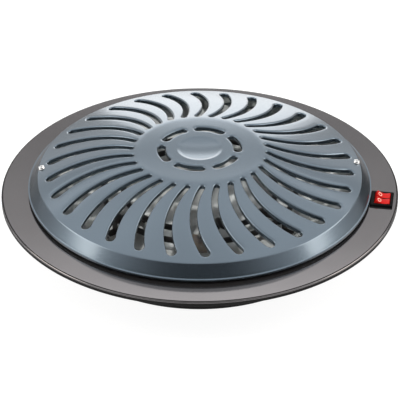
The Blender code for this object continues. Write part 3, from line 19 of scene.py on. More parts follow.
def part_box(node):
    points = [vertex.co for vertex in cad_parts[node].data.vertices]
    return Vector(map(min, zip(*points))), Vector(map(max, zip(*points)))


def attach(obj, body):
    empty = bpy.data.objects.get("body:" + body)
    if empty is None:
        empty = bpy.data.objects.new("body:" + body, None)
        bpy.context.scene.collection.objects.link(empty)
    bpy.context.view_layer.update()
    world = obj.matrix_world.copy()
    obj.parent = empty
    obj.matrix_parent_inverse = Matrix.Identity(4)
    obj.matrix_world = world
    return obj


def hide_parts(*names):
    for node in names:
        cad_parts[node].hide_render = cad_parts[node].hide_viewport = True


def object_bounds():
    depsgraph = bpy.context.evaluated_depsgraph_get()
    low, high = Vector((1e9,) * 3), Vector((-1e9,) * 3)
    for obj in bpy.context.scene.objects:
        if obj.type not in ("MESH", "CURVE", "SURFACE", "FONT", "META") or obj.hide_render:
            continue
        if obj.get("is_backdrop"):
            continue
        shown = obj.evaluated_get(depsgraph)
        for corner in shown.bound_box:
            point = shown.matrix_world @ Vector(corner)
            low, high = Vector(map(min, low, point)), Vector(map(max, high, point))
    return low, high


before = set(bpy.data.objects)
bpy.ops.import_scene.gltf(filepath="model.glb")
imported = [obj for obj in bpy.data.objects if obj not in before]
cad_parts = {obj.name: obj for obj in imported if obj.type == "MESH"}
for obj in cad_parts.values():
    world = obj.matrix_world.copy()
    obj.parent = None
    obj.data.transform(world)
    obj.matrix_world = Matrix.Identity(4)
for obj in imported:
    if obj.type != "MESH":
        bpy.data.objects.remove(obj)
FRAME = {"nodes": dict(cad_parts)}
LOG = logging.getLogger("heater")
RIM_HEIGHT = 0.058
RIM_PLANE = Matrix.Translation((0.0, 0.0, RIM_HEIGHT))
FULL_TURN = 2 * math.pi
QUARTER = math.pi / 2
MERGE = 1e-7  # points nearer than this are one point
CREASE = 34.0  # an edge over this angle, in degrees, stays sharp
PUNCH = 0.003  # how far a cutter reaches on each side of the sheet it goes through
TUBE_LIP = 0.8  # radius of a tube's end, as a share of the tube's
Point = tuple[float, float, float]
Flat = tuple[float, float]
Edge = list[tuple[Vector, Vector]]
Level = Callable[[float], float]
Socket = bpy.types.NodeSocket


class Body(Enum):
    """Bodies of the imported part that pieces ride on."""

    HEATER = "heater"
    FRONT_ROCKER = "front_rocker"
    BACK_ROCKER = "back_rocker"


class Side(Enum):
    """The two halves of the twin switch."""

    FRONT = -1
    BACK = 1


def lerp(low: float, high: float, share: float) -> float:
    """The value this share of the way from low to high."""
    return low + (high - low) * share


def soft_low(a: float, b: float, width: float) -> float:
    """The lower of two heights, blended where they differ by less than the width."""
    near = max(width - abs(a - b), 0.0) / width
    return min(a, b) - near * near * width / 4


def spot(radius: float, angle: float, height: float = 0.0) -> Matrix:
    """A frame at a polar place over the rim plane, its X axis pointing outwards."""
    return RIM_PLANE @ Matrix.Rotation(angle, 4, "Z") @ Matrix.Translation((radius, 0.0, height))


def around(count: int) -> list[float]:
    """The angles that divide a full turn evenly."""
    return [FULL_TURN * i / count for i in range(count)]


def quarter(steps: int) -> list[float]:
    """Even angles from zero to a right angle, both ends included."""
    return [QUARTER * i / steps for i in range(steps + 1)]


def polar(radius: float, angle: float, height: float) -> Point:
    """A point from its radius, angle and height."""
    return (radius * math.cos(angle), radius * math.sin(angle), height)


def arc(centre: Flat, radius: float, first: float, last: float, steps: int) -> list[Flat]:
    """Points along an arc from its first to its last angle, in degrees, both ends included."""
    turns = [math.radians(lerp(first, last, i / steps)) for i in range(steps + 1)]
    return [(centre[0] + radius * math.cos(a), centre[1] + radius * math.sin(a)) for a in turns]


def disc(radius: float, sides: int) -> list[Flat]:
    """The corners of a round hole or rod."""
    return arc((0.0, 0.0), radius, 0.0, 360.0 - 360.0 / sides, sides - 1)


def oblong(half_x: float, half_y: float) -> list[Flat]:
    """The corners of a rectangle about the middle."""
    return [(-half_x, -half_y), (half_x, -half_y), (half_x, half_y), (-half_x, half_y)]


class Draft:
    """Points and faces of one piece, gathered before they become a mesh."""

    def __init__(self, frame: Matrix = RIM_PLANE) -> None:
        """Starts an empty draft.

        Args:
            frame: The frame that its points are given in.
        """
        self.frame = frame
        self.points: list[Vector] = []
        self.faces: list[tuple[int, ...]] = []

    def row(self, points: Iterable[Point]) -> list[int]:
        """Adds points.

        Args:
            points: The points, in the draft's frame.

        Returns:
            Their numbers.
        """
        first = len(self.points)
        self.points += [self.frame @ Vector(point) for point in points]
        return list(range(first, len(self.points)))

    def strip(self, first: Sequence[int], second: Sequence[int], closed: bool = True) -> None:
        """Joins two rows of the same length with quads.

        Args:
            first: Point numbers of one row.
            second: Point numbers of the other row.
            closed: Whether the rows close on themselves.
        """
        pairs = list(zip(first, second))
        following = pairs[1:] + pairs[:1] if closed else pairs[1:]
        self.faces += [(a, c, d, b) for (a, b), (c, d) in zip(pairs, following)]

    def strips(self, rows: Sequence[Sequence[int]], closed: bool = True) -> None:
        """Joins each row to the next."""
        for first, second in zip(rows, rows[1:]):
            self.strip(first, second, closed)

    def cap(self, row: Sequence[int]) -> None:
        """Closes a row with one face."""
        self.faces.append(tuple(row))

    def turned(self, outline: Sequence[Flat], steps: int, closed: bool = True) -> None:
        """Spins an outline of (radius, height) pairs about the frame's Z axis.

        Args:
            outline: The outline; points on the axis become poles.
            steps: Segments in a full turn.
            closed: Whether the last point joins the first.
        """
        rows = []
        for radius, height in outline:
            turns = around(steps) if radius > MERGE else [0.0]
            ring = self.row(polar(radius, a, height) for a in turns)
            rows.append(ring * steps if len(ring) == 1 else ring)
        if closed:
            rows.append(rows[0])
        for first, second in zip(rows, rows[1:]):
            if first[0] == first[1] and second[0] == second[1]:
                continue
            pairs = list(zip(first, second))
            for (a, b), (c, d) in zip(pairs, pairs[1:] + pairs[:1]):
                self.faces.append(tuple(dict.fromkeys((a, c, d, b))))

    def swept(self, route: Sequence[Vector], radius: float, sides: int) -> None:
        """Runs a round tube along a route, a little narrower at its ends.

        Args:
            route: Points that the tube's middle follows.
            radius: Radius of the tube.
            sides: Points round the tube.
        """
        ahead = [(b - a).normalized() for a, b in zip(route, route[1:])]
        ways = [ahead[0], *[(a + b).normalized() for a, b in zip(ahead, ahead[1:])], ahead[-1]]
        aside = ways[0].orthogonal().normalized()
        rows = []
        for index, (place, way) in enumerate(zip(route, ways)):
            aside = (aside - way * aside.dot(way)).normalized()
            other = way.cross(aside)
            wide = radius * (TUBE_LIP if index in (0, len(route) - 1) else 1.0)
            spokes = [aside * math.cos(a) + other * math.sin(a) for a in around(sides)]
            rows.append(self.row(place + spoke * wide for spoke in spokes))
        self.strips(rows)
        self.cap(rows[0])
        self.cap(rows[-1])

    def bar(self, outline: Sequence[Flat], low: float = -PUNCH, high: float = PUNCH) -> None:
        """Gives a flat outline depth along the frame's Z axis, closed at both ends.

        Args:
            outline: The outline.
            low: Height of one end.
            high: Height of the other.
        """
        rows = [self.row((x, y, z) for x, y in outline) for z in (low, high)]
        self.strips(rows)
        self.cap(rows[0])
        self.cap(rows[1])

    def mesh(self, name: str, crease: float = CREASE) -> bpy.types.Mesh:
        """Turns the draft into a mesh whose faces look outwards.

        Args:
            name: Name of the mesh.
            crease: Angle in degrees over which an edge stays sharp.

        Returns:
            The mesh.
        """
        made = bpy.data.meshes.new(name)
        made.from_pydata([tuple(point) for point in self.points], [], self.faces)
        bm = bmesh.new()
        bm.from_mesh(made)
        bmesh.ops.remove_doubles(bm, verts=bm.verts, dist=MERGE)
        bmesh.ops.recalc_face_normals(bm, faces=bm.faces)
        bm.to_mesh(made)
        bm.free()
        made.shade_smooth()
        made.set_sharp_from_angle(angle=math.radians(crease))
        return made


def linked(name: str, data: bpy.types.ID) -> bpy.types.Object:
    """Puts a new object into the scene.

    Args:
        name: Name of the object.
        data: Its mesh, lamp or camera.

    Returns:
        The object.
    """
    made = bpy.data.objects.new(name, data)
    bpy.context.scene.collection.objects.link(made)
    return made


def pierce(piece: bpy.types.Object, cutter: bpy.types.Mesh) -> None:
    """Cuts a mesh out of a piece and keeps its sharp edges.

    Args:
        piece: The piece to cut.
        cutter: The mesh that is taken away.
    """
    tool = linked("cutter", cutter)
    step = piece.modifiers.new("cut", "BOOLEAN")
    step.operation = "DIFFERENCE"
    step.solver = "EXACT"
    step.object = tool
    graph = bpy.context.evaluated_depsgraph_get()
    mesh = bpy.data.meshes.new_from_object(piece.evaluated_get(graph))
    piece.modifiers.clear()
    piece.data = mesh
    mesh.shade_smooth()
    mesh.set_sharp_from_angle(angle=math.radians(CREASE))
    bpy.data.objects.remove(tool)


class NodeDesk:
    """Lays out the nodes of a material or of the world."""

    def __init__(self, owner: bpy.types.Material | bpy.types.World, bare: bool = False) -> None:
        """Takes over the nodes of a material or world.

        Args:
            owner: The material or world.
            bare: Whether the nodes that it starts with are taken away.
        """
        owner.use_nodes = True
        self.owner = owner
        self.tree = owner.node_tree
        if bare:
            self.tree.nodes.clear()

    def node(
        self, kind: str, sockets: dict[str | int, object] | None = None, **settings: object
    ) -> bpy.types.Node:
        """Adds a node.

        Args:
            kind: Blender's name of the kind of node.
            sockets: A value, or an output to link, for each input that is set.
            **settings: Values for the node's own properties.

        Returns:
            The node.
        """
        made = self.tree.nodes.new(kind)
        for key, value in settings.items():
            setattr(made, key, value)
        for key, value in (sockets or {}).items():
            if isinstance(value, Socket):
                self.tree.links.new(value, made.inputs[key])
            else:
                made.inputs[key].default_value = value
        return made

    def ramp(self, source: Socket, stops: Sequence[tuple[float, Sequence[float]]]) -> Socket:
        """Turns a value into colours.

        Args:
            source: The value.
            stops: Pairs of place and colour.

        Returns:
            The colour socket.
        """
        made = self.node("ShaderNodeValToRGB", {"Fac": source})
        elements = made.color_ramp.elements
        while len(elements) < len(stops):
            elements.new(0.5)
        for element, (place, colour) in zip(elements, stops):
            element.position = place
            element.color = (*colour, 1.0)
        return made.outputs["Color"]


class PaintDesk(NodeDesk):
    """Lays out the nodes of one finish round its Principled shader."""

    def __init__(self, name: str) -> None:
        """Starts a material with a Principled shader.

        Args:
            name: Name of the material.
        """
        super().__init__(bpy.data.materials.new(name))
        self.shader = self.tree.nodes["Principled BSDF"]
        self.place = self.node("ShaderNodeTexCoord").outputs["Object"]

    def feed(self, source: Socket, name: str) -> None:
        """Links an output to one of the shader's own sockets."""
        self.tree.links.new(source, self.shader.inputs[name])

    def set(self, **values: object) -> None:
        """Sets the shader's own sockets, with underscores for the spaces in their names."""
        for key, value in values.items():
            name = key.replace("_", " ").title().replace("Ior", "IOR")
            self.shader.inputs[name].default_value = value

    def stretched(self, scale: Point) -> Socket:
        """The object's coordinates, scaled apart along the three axes."""
        sockets = {"Scale": scale, "Vector": self.place}
        return self.node("ShaderNodeMapping", sockets).outputs["Vector"]

    def noise(self, scale: float, detail: float = 3.0, place: Socket | None = None) -> Socket:
        """A noise between 0 and 1, with its waves in a metre and the octaves of finer waves."""
        sockets = {"Scale": scale, "Detail": detail, "Vector": place or self.place}
        return self.node("ShaderNodeTexNoise", sockets).outputs["Fac"]

    def cells(self, scale: float) -> Socket:
        """A pattern of cells, each with a colour of its own, from their number in a metre."""
        sockets = {"Scale": scale, "Vector": self.place}
        return self.node("ShaderNodeTexVoronoi", sockets, feature="F1").outputs["Color"]

    def patches(self, source: Socket, dark: Point, light: Point) -> None:
        """Colours the surface from a noise: dark in its lows and light in its highs."""
        self.feed(self.ramp(source, [(0.35, dark), (0.65, light)]), "Base Color")

    def roughness(self, source: Socket, low: float, high: float) -> None:
        """Varies the roughness between two values with a noise that keeps to its middle range."""
        span = {"From Min": 0.3, "From Max": 0.7, "To Min": low, "To Max": high, "Value": source}
        self.feed(self.node("ShaderNodeMapRange", span).outputs["Result"], "Roughness")

    def bump(self, source: Socket, depth: float) -> None:
        """Lets a pattern stand out of the surface by a depth in metres."""
        sockets = {"Strength": 1.0, "Distance": depth, "Height": source}
        self.feed(self.node("ShaderNodeBump", sockets).outputs["Normal"], "Normal")


@dataclass(frozen=True)
class Coating:
    """A painted, moulded or fired surface with a fine grain.

    Attributes:
        name: Name of the finish.
        light: Colour of its lighter patches.
        dark: Colour of its darker patches.
        metallic: How far it reflects like metal.
        gloss: Lowest and highest roughness.
        patch: Patches in a metre.
        grain: Grains in a metre.
        depth: Depth of the grain, in metres.
        extras: More values for the shader's own sockets.
    """

    name: str
    light: Point
    dark: Point
    metallic: float
    gloss: Flat
    patch: float = 12.0
    grain: float = 1600.0
    depth: float = 0.00002
    extras: tuple[tuple[str, float], ...] = ()

    def made(self) -> bpy.types.Material:
        """Builds the material.

        Returns:
            The material.
        """
        desk = PaintDesk(self.name)
        desk.set(metallic=self.metallic, **dict(self.extras))
        desk.patches(desk.noise(self.patch), self.dark, self.light)
        grains = desk.noise(self.grain, 2.0)
        desk.roughness(grains, *self.gloss)
        desk.bump(grains, self.depth)
        return desk.owner


@dataclass(frozen=True)
class Spangle:
    """Hot-dipped zinc, whose crystals differ in brightness and gloss.

    Attributes:
        name: Name of the finish.
        light: Colour of its brightest crystals.
        dark: Colour of its darkest crystals.
        metallic: How far it reflects like metal.
        gloss: Lowest and highest roughness.
        crystals: Crystals in a metre.
        dents: Dents in a metre.
        depth: Depth of the dents, in metres.
    """

    name: str = "galvanised"
    light: Point = (0.82, 0.84, 0.82)
    dark: Point = (0.74, 0.76, 0.74)
    metallic: float = 0.6
    gloss: Flat = (0.15, 0.19)
    crystals: float = 130.0
    dents: float = 120.0
    depth: float = 0.00001

    def made(self) -> bpy.types.Material:
        """Builds the material.

        Returns:
            The material.
        """
        desk = PaintDesk(self.name)
        desk.set(metallic=self.metallic)
        parted = desk.node("ShaderNodeSeparateColor", {"Color": desk.cells(self.crystals)})
        stops = [(0.0, self.dark), (1.0, self.light)]
        desk.feed(desk.ramp(parted.outputs["Red"], stops), "Base Color")
        desk.roughness(parted.outputs["Green"], *self.gloss)
        desk.bump(desk.noise(self.dents, 1.0), self.depth)
        return desk.owner


@dataclass(frozen=True)
class HeatTint:
    """Steel that heat has coloured from straw through brown to blue.

    Attributes:
        name: Name of the finish.
        bands: Pairs of place in the noise and colour.
        metallic: How far it reflects like metal.
        patch: Patches in a metre.
        gloss: Lowest and highest roughness.
        stain: Waves of the roughness in a metre.
        grain: Grains in a metre.
        depth: Depth of the grain, in metres.
    """

    name: str = "heat_tint"
    bands: tuple[tuple[float, Point], ...] = (
        (0.3, (0.42, 0.39, 0.34)),
        (0.45, (0.32, 0.26, 0.2)),
        (0.6, (0.2, 0.19, 0.2)),
    )
    metallic: float = 0.8
    patch: float = 70.0
    gloss: Flat = (0.3, 0.5)
    stain: float = 500.0
    grain: float = 1200.0
    depth: float = 0.00001

    def made(self) -> bpy.types.Material:
        """Builds the material.

        Returns:
            The material.
        """
        desk = PaintDesk(self.name)
        desk.set(metallic=self.metallic)
        desk.feed(desk.ramp(desk.noise(self.patch, 2.0), self.bands), "Base Color")
        desk.roughness(desk.noise(self.stain), *self.gloss)
        desk.bump(desk.noise(self.grain), self.depth)
        return desk.owner


@dataclass(frozen=True)
class Drawn:
    """Bare metal with the fine lines of drawing, turning or brushing.

    Attributes:
        name: Name of the finish.
        light: Colour on the lines' crests.
        dark: Colour between them.
        gloss: Lowest and highest roughness.
        lines: Lines in a metre along each axis.
        depth: Depth of the lines, in metres.
    """

    name: str
    light: Point
    dark: Point
    gloss: Flat
    lines: Point = (1200.0, 1200.0, 300.0)
    depth: float = 0.000008

    def made(self) -> bpy.types.Material:
        """Builds the material.

        Returns:
            The material.
        """
        desk = PaintDesk(self.name)
        desk.set(metallic=1.0)
        lines = desk.noise(1.0, 3.0, desk.stretched(self.lines))
        desk.patches(lines, self.dark, self.light)
        desk.roughness(lines, *self.gloss)
        desk.bump(lines, self.depth)
        return desk.owner


class Finish(Enum):
    """Every finish on the heater."""

    SLATE = Coating(
        "slate", (0.122, 0.162, 0.2), (0.112, 0.149, 0.185), 0.95, (0.22, 0.26), depth=0.000004,
        extras=(("coat_weight", 0.8), ("coat_roughness", 0.16)),
    )
    TAUPE = Coating(
        "taupe", (0.205, 0.196, 0.2), (0.187, 0.178, 0.182), 0.95, (0.1, 0.13), depth=0.000004
    )
    BLACK_PAINT = Coating(
        "black_paint", (0.008, 0.0078, 0.0078), (0.0055, 0.0053, 0.0053), 0.0, (0.5, 0.6),
        extras=(("specular_ior_level", 0.1),),
    )
    GALVANISED = Spangle()
    CHROME = Drawn("chrome", (0.9, 0.9, 0.9), (0.82, 0.82, 0.82), (0.08, 0.16))
    ZINC = Drawn("zinc", (0.6, 0.6, 0.58), (0.48, 0.48, 0.47), (0.3, 0.45))
    BURNT_STEEL = Drawn("burnt_steel", (0.06, 0.056, 0.054), (0.035, 0.033, 0.031), (0.4, 0.6))
    SHEATH = Coating("sheath", (0.022, 0.02, 0.019), (0.01, 0.01, 0.011), 0.5, (0.4, 0.6), 60.0)
    HEAT_TINT = HeatTint()
    CERAMIC = Coating("ceramic", (0.78, 0.76, 0.7), (0.72, 0.7, 0.64), 0.0, (0.2, 0.35), 40.0)
    BAKELITE = Coating(
        "bakelite", (0.05, 0.035, 0.028), (0.035, 0.025, 0.02), 0.0, (0.3, 0.45), 80.0
    )
    BLACK_PLASTIC = Coating(
        "black_plastic", (0.005, 0.005, 0.0052), (0.003, 0.003, 0.0032), 0.0, (0.5, 0.6), 50.0,
        extras=(("specular_ior_level", 0.04),),
    )
    RED_PLASTIC = Coating(
        "red_plastic", (0.4, 0.009, 0.006), (0.33, 0.005, 0.004), 0.0, (0.24, 0.32), 90.0,
        extras=(("specular_ior_level", 0.06),),
    )
    MARK = Coating("mark", (1.0, 0.74, 0.6), (0.95, 0.66, 0.52), 0.0, (0.3, 0.4), 200.0)
    RUBBER = Coating(
        "rubber", (0.025, 0.025, 0.025), (0.018, 0.018, 0.018), 0.0, (0.7, 0.85), 60.0, 900.0,
        0.00004,
    )
    BRASS = Drawn("brass", (0.72, 0.52, 0.22), (0.6, 0.42, 0.16), (0.22, 0.36))
    BROWN_WIRE = Coating(
        "brown_wire", (0.18, 0.08, 0.035), (0.14, 0.06, 0.025), 0.0, (0.4, 0.5), 60.0
    )
    BLUE_WIRE = Coating("blue_wire", (0.04, 0.1, 0.34), (0.03, 0.08, 0.28), 0.0, (0.4, 0.5), 60.0)
    GREEN_WIRE = Coating(
        "green_wire", (0.14, 0.34, 0.06), (0.5, 0.45, 0.05), 0.0, (0.4, 0.5), 90.0
    )

    def slot(self) -> str:
        """The record's material slot; the rockers' marks share the rockers' own."""
        return (Finish.RED_PLASTIC if self is Finish.MARK else self).value.name


class PaintShop:
    """Keeps one material for each finish."""

    def __init__(self) -> None:
        """Starts with an empty shelf."""
        self.shelf: dict[Finish, bpy.types.Material] = {}

    def tin(self, finish: Finish) -> bpy.types.Material:
        """Takes the material of a finish, made the first time that it is asked for.

        Args:
            finish: The finish.

        Returns:
            Its material.
        """
        if finish not in self.shelf:
            self.shelf[finish] = finish.value.made()
        return self.shelf[finish]

    def dress(self, piece: bpy.types.Object, finish: Finish) -> None:
        """Gives a piece its finish.

        Args:
            piece: The piece.
            finish: The finish.
        """
        piece.data.materials.clear()
        piece.data.materials.append(self.tin(finish))


SHOP = PaintShop()


def fitted(
    name: str,
    draft: Draft,
    finish: Finish,
    nodes: Sequence[str] = (),
    body: Body = Body.HEATER,
    crease: float = CREASE,
) -> bpy.types.Object:
    """Puts a piece into the scene, on its body and in its finish.

    Args:
        name: Name of the piece.
        draft: Its points and faces, in place.
        finish: Its finish.
        nodes: CAD nodes that it stands for.
        body: The body that it rides on.
        crease: Angle in degrees over which an edge stays sharp.

    Returns:
        The piece.
    """
    piece = linked(name, draft.mesh(name, crease))
    SHOP.dress(piece, finish)
    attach(piece, body.value)
    if nodes:
        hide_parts(*nodes)
    LOG.info("%s: %d faces", name, len(piece.data.polygons))
    return piece


@dataclass
class GuardGrille:
    """The domed guard: swirl slots, slots round the hub, a dished medallion and a bevelled edge.

    Attributes:
        edge: Radius at which the bevel ends.
        hem_rows: The hem's section, from the bevel's end round its edge and back under it, as
            distance outside that end and height over it.
        shoulder: Radius at which the dome meets the bevel.
        hub: Radius of the crease round the hub.
        medallion: Radius of the medallion's rim.
        step: Width of the sloping wall inside that rim.
        summit: Height of the medallion's rim.
        wall_drop: Depth of the sloping wall.
        dish_drop: Depth of the medallion's hollow, apart from the wall.
        plate_drop: Fall of the hub's plate from the medallion's rim to the crease.
        plate_lean: Share of that fall that comes evenly, against all at the end.
        crease_height: Height of the dome at the crease.
        shoulder_height: Height of the shoulder.
        swell: How far the dome bows up between them.
        foot_height: Height of the bevel's end.
        blends: Rounding of the medallion's rim, the crease and the shoulder, as heights.
        sheet: Thickness on the dome and at the bevel's end.
        hub_slots: Number of slots round the hub.
        hub_slot_circle: Radius of the middle line of those slots.
        hub_slot_half: Half their width.
        hub_slot_reach: Half the angle between the middles of their round ends.
        hub_slot_phase: Angle of the first of them.
        slot_start: Radius at which a swirl slot's middle line begins.
        slot_end: Radius at which it ends.
        slot_widths: Width of a swirl slot at its start, middle and end.
        bulge: How far its middle line bows out clockwise.
        slots: Number of swirl slots.
        phase: Angle of the first swirl slot.
        lip: Width of the rounded edge round each slot.
        fall: Depth of that edge.
        lip_faces: Faces across that edge.
        skirt: How far the slot's turned-down wall reaches under the sheet.
        skirt_rows: Distance from the slot and height over the wall's foot, of the rows there.
        rows: Faces along a swirl slot.
        cap: Faces round its round end.
        columns: Faces across the bar between two slots.
        hub_cap: Faces round a corner of a hub slot.
        hub_columns: Faces along a hub slot, between its corners.
        hub_bridge: Faces across the bar between two hub slots.
        bands_out: Faces from the swirl slots out to the shoulder.
        bands_in: Faces from the swirl slots in to the crease.
        bands_hub: Faces from the crease in to the hub slots.
        bands_plate: Faces from the hub slots in to the medallion.
        margin: How far inside the shoulder those faces end.
        medallion_rows: Radii of the rings of the medallion.
        shoulder_rows: Distances from the shoulder of the rings on it and on the bevel.
        under_rows: Radii of the rings under the bevel.
    """

    edge: float = 0.1886
    hem_rows: tuple[Flat, ...] = (
        (-0.0002, 0.0002), (0.0, 0.0), (0.0003, -0.0001), (0.0007, -0.0001), (0.001, -0.0001),
        (0.0013, -0.0002), (0.0014, -0.0005), (0.0014, -0.0022), (0.0012, -0.0024),
        (0.0008, -0.0025), (0.0003, -0.0025), (-0.0001, -0.0023), (-0.0006, -0.0019),
    )
    shoulder: float = 0.179
    hub: float = 0.0695
    medallion: float = 0.0255
    step: float = 0.0045
    summit: float = 0.0468
    wall_drop: float = 0.0004
    dish_drop: float = 0.0021
    plate_drop: float = 0.0015
    plate_lean: float = 0.25
    crease_height: float = 0.0453
    shoulder_height: float = 0.0184
    swell: float = 0.0013
    foot_height: float = 0.0058
    blends: Point = (0.0002, 0.0004, 0.0005)
    sheet: Flat = (0.0032, 0.0018)
    hub_slots: int = 6
    hub_slot_circle: float = 0.0419
    hub_slot_half: float = 0.0043
    hub_slot_reach: float = math.radians(17.85)
    hub_slot_phase: float = math.radians(14.0)
    slot_start: float = 0.07545
    slot_end: float = 0.165
    slot_widths: Point = (0.0057, 0.0073, 0.01)
    bulge: float = 0.0106
    slots: int = 30
    phase: float = math.radians(-88.1)
    lip: float = 0.0025
    fall: float = 0.0016
    lip_faces: int = 5
    skirt: float = 0.002
    skirt_rows: tuple[Flat, ...] = ((0.0, 0.0003), (0.0003, 0.0), (0.001, 0.0), (0.0013, 0.0003))
    rows: int = 24
    cap: int = 8
    columns: int = 4
    hub_cap: int = 6
    hub_columns: int = 36
    hub_bridge: int = 12
    bands_out: int = 5
    bands_in: int = 4
    bands_hub: int = 8
    bands_plate: int = 4
    margin: float = 0.0014
    medallion_rows: tuple[float, ...] = (
        0.0285, 0.027, 0.026, 0.0255, 0.025, 0.0243, 0.0235, 0.0227,
        0.0219, 0.0213, 0.0208, 0.02, 0.0185, 0.016, 0.012, 0.006,
    )
    shoulder_rows: tuple[float, ...] = (
        -0.0008, -0.0004, 0.0, 0.0004, 0.0008, 0.0016, 0.0046, 0.0079, 0.009,
    )
    under_rows: tuple[float, ...] = (0.187, 0.183, 0.18, 0.1788, 0.178)

    def top(self, radius: float) -> float:
        """Height of the outer face.

        Args:
            radius: Distance from the guard's middle.

        Returns:
            The height there.
        """
        wall = min(1.0, max(0.0, (self.medallion - radius) / self.step))
        hollow = self.dish_drop * (1 - (radius / self.medallion) ** 2)
        dish = self.summit - self.wall_drop * wall * wall * (3 - 2 * wall) - hollow
        share = max(0.0, (radius - self.medallion) / (self.hub - self.medallion))
        lean = self.plate_lean
        plate = self.summit - self.plate_drop * share * (lean + (1 - lean) * share)
        share = (radius - self.hub) / (self.shoulder - self.hub)
        dome = lerp(self.crease_height, self.shoulder_height, share)
        dome += 4 * self.swell * share * (1 - share)
        share = (radius - self.shoulder) / (self.edge - self.shoulder)
        bevel = lerp(self.shoulder_height, self.foot_height, share)
        rim, crease, corner = self.blends
        return soft_low(soft_low(soft_low(dish, plate, rim), dome, crease), bevel, corner)

    def under(self, radius: float) -> float:
        """Height of the inner face at a radius."""
        thin = max(0.0, (radius - self.shoulder) / (self.edge - self.shoulder))
        return self.top(radius) - lerp(*self.sheet, thin)

    def swirl_outline(self) -> Edge:
        """One swirl slot's outline: right side, outer end, left side, inner end.

        Returns:
            Pairs of a point and the direction away from the slot there.
        """
        length = self.slot_end - self.slot_start
        bow = (length * length / 4 + self.bulge * self.bulge) / (2 * self.bulge)
        inner, middle, outer = self.slot_widths
        right: Edge = []
        left: Edge = []
        ends: list[Edge] = []
        for i in range(self.rows + 1):
            share = i / self.rows
            off = (share - 0.5) * length
            depth = math.sqrt(bow * bow - off * off)
            centre = Vector((self.slot_start + share * length, bow - self.bulge - depth))
            ahead = Vector((1.0, off / depth)).normalized()
            aside = Vector((-ahead.y, ahead.x))
            width = inner * (1 - share) * (1 - 2 * share) + 4 * middle * share * (1 - share)
            half = (width + outer * share * (2 * share - 1)) / 2
            right.append((centre - aside * half, -aside))
            left.append((centre + aside * half, aside))
            if i in (0, self.rows):
                first = QUARTER if i == 0 else -QUARTER
                turns = [first + math.pi * j / self.cap for j in range(1, self.cap)]
                ways = [ahead * math.cos(a) + aside * math.sin(a) for a in turns]
                ends.append([(centre + way * half, way) for way in ways])
        return right + ends[1] + left[::-1] + ends[0]

    def hub_outline(self) -> Edge:
        """One hub slot's outline about angle zero: its outer side, then its inner side back.

        Returns:
            Pairs of a point and the direction away from the slot there.
        """
        reach, half = self.hub_slot_reach, self.hub_slot_half
        sides = []
        for sign in (1, -1):
            ray = Vector((math.cos(reach), math.sin(reach)))
            along = Vector((-ray.y, ray.x))
            ways = [along * math.cos(a) + ray * (sign * math.sin(a)) for a in quarter(self.hub_cap)]
            start = [(ray * self.hub_slot_circle + way * half, way) for way in ways]
            middle = []
            for j in range(1, self.hub_columns):
                angle = lerp(reach, -reach, j / self.hub_columns)
                ray = Vector((math.cos(angle), math.sin(angle)))
                middle.append((ray * (self.hub_slot_circle + sign * half), ray * sign))
            finish = [(Vector((p.x, -p.y)), Vector((n.x, -n.y))) for p, n in start[::-1]]
            sides.append(start + middle + finish)
        upper, lower = sides
        return upper[::-1] + lower[1:-1]

    def swirl_turns(self) -> list[float]:
        """The angles of the swirl slots."""
        return [self.phase + FULL_TURN / self.slots * k for k in range(self.slots)]

    def hub_turns(self) -> list[float]:
        """The angles of the hub slots."""
        return [self.hub_slot_phase + FULL_TURN / self.hub_slots * k for k in range(self.hub_slots)]

    def ring(
        self,
        draft: Draft,
        outline: Edge,
        turn: float,
        offset: float,
        level: Level,
        drop: float = 0.0,
    ) -> list[int]:
        """Adds one row of points round a slot.

        Args:
            draft: Where the points go.
            outline: The slot's outline.
            turn: Angle of the slot.
            offset: Distance of the row outside the outline.
            level: Height as a function of radius.
            drop: Distance of the row under that height.

        Returns:
            The points' numbers.
        """
        points = []
        for place, away in outline:
            at = place + away * offset
            angle = math.atan2(at.y, at.x) + turn
            points.append(polar(at.length, angle, level(at.length) - drop))
        return draft.row(points)

    def between(self, draft: Draft, first: int, second: int, steps: int, level: Level) -> list[int]:
        """Adds the points between two others, at even steps of radius and angle.

        Args:
            draft: Where the points go.
            first: Number of the point at one end.
            second: Number of the point at the other.
            steps: Steps from one to the other.
            level: Height as a function of radius.

        Returns:
            The new points' numbers.
        """
        a, b = (RIM_PLANE.inverted() @ draft.points[i] for i in (first, second))
        low, high = math.atan2(a.y, a.x), math.atan2(b.y, b.x)
        high += FULL_TURN * round((low - high) / FULL_TURN)
        points = []
        for j in range(1, steps):
            radius = lerp(a.xy.length, b.xy.length, j / steps)
            points.append(polar(radius, lerp(low, high, j / steps), level(radius)))
        return draft.row(points)

    def bands(
        self, draft: Draft, first: Sequence[int], second: Sequence[int], steps: int, level: Level
    ) -> None:
        """Fills the sheet between two closed rows with rows of quads."""
        columns = [[a, *self.between(draft, a, b, steps, level), b] for a, b in zip(first, second)]
        draft.strips(list(zip(*columns)))

    def circle(self, draft: Draft, radius: float, height: float) -> list[int]:
        """Adds a full ring of points, in step with the swirl slots.

        Args:
            draft: Where the points go.
            radius: Radius of the ring.
            height: Height of the ring.

        Returns:
            The points' numbers.
        """
        count = self.slots * (self.cap + self.columns)
        turns = [self.phase + FULL_TURN * (j - self.cap / 2) / count for j in range(count)]
        return draft.row(polar(radius, a, height) for a in turns)

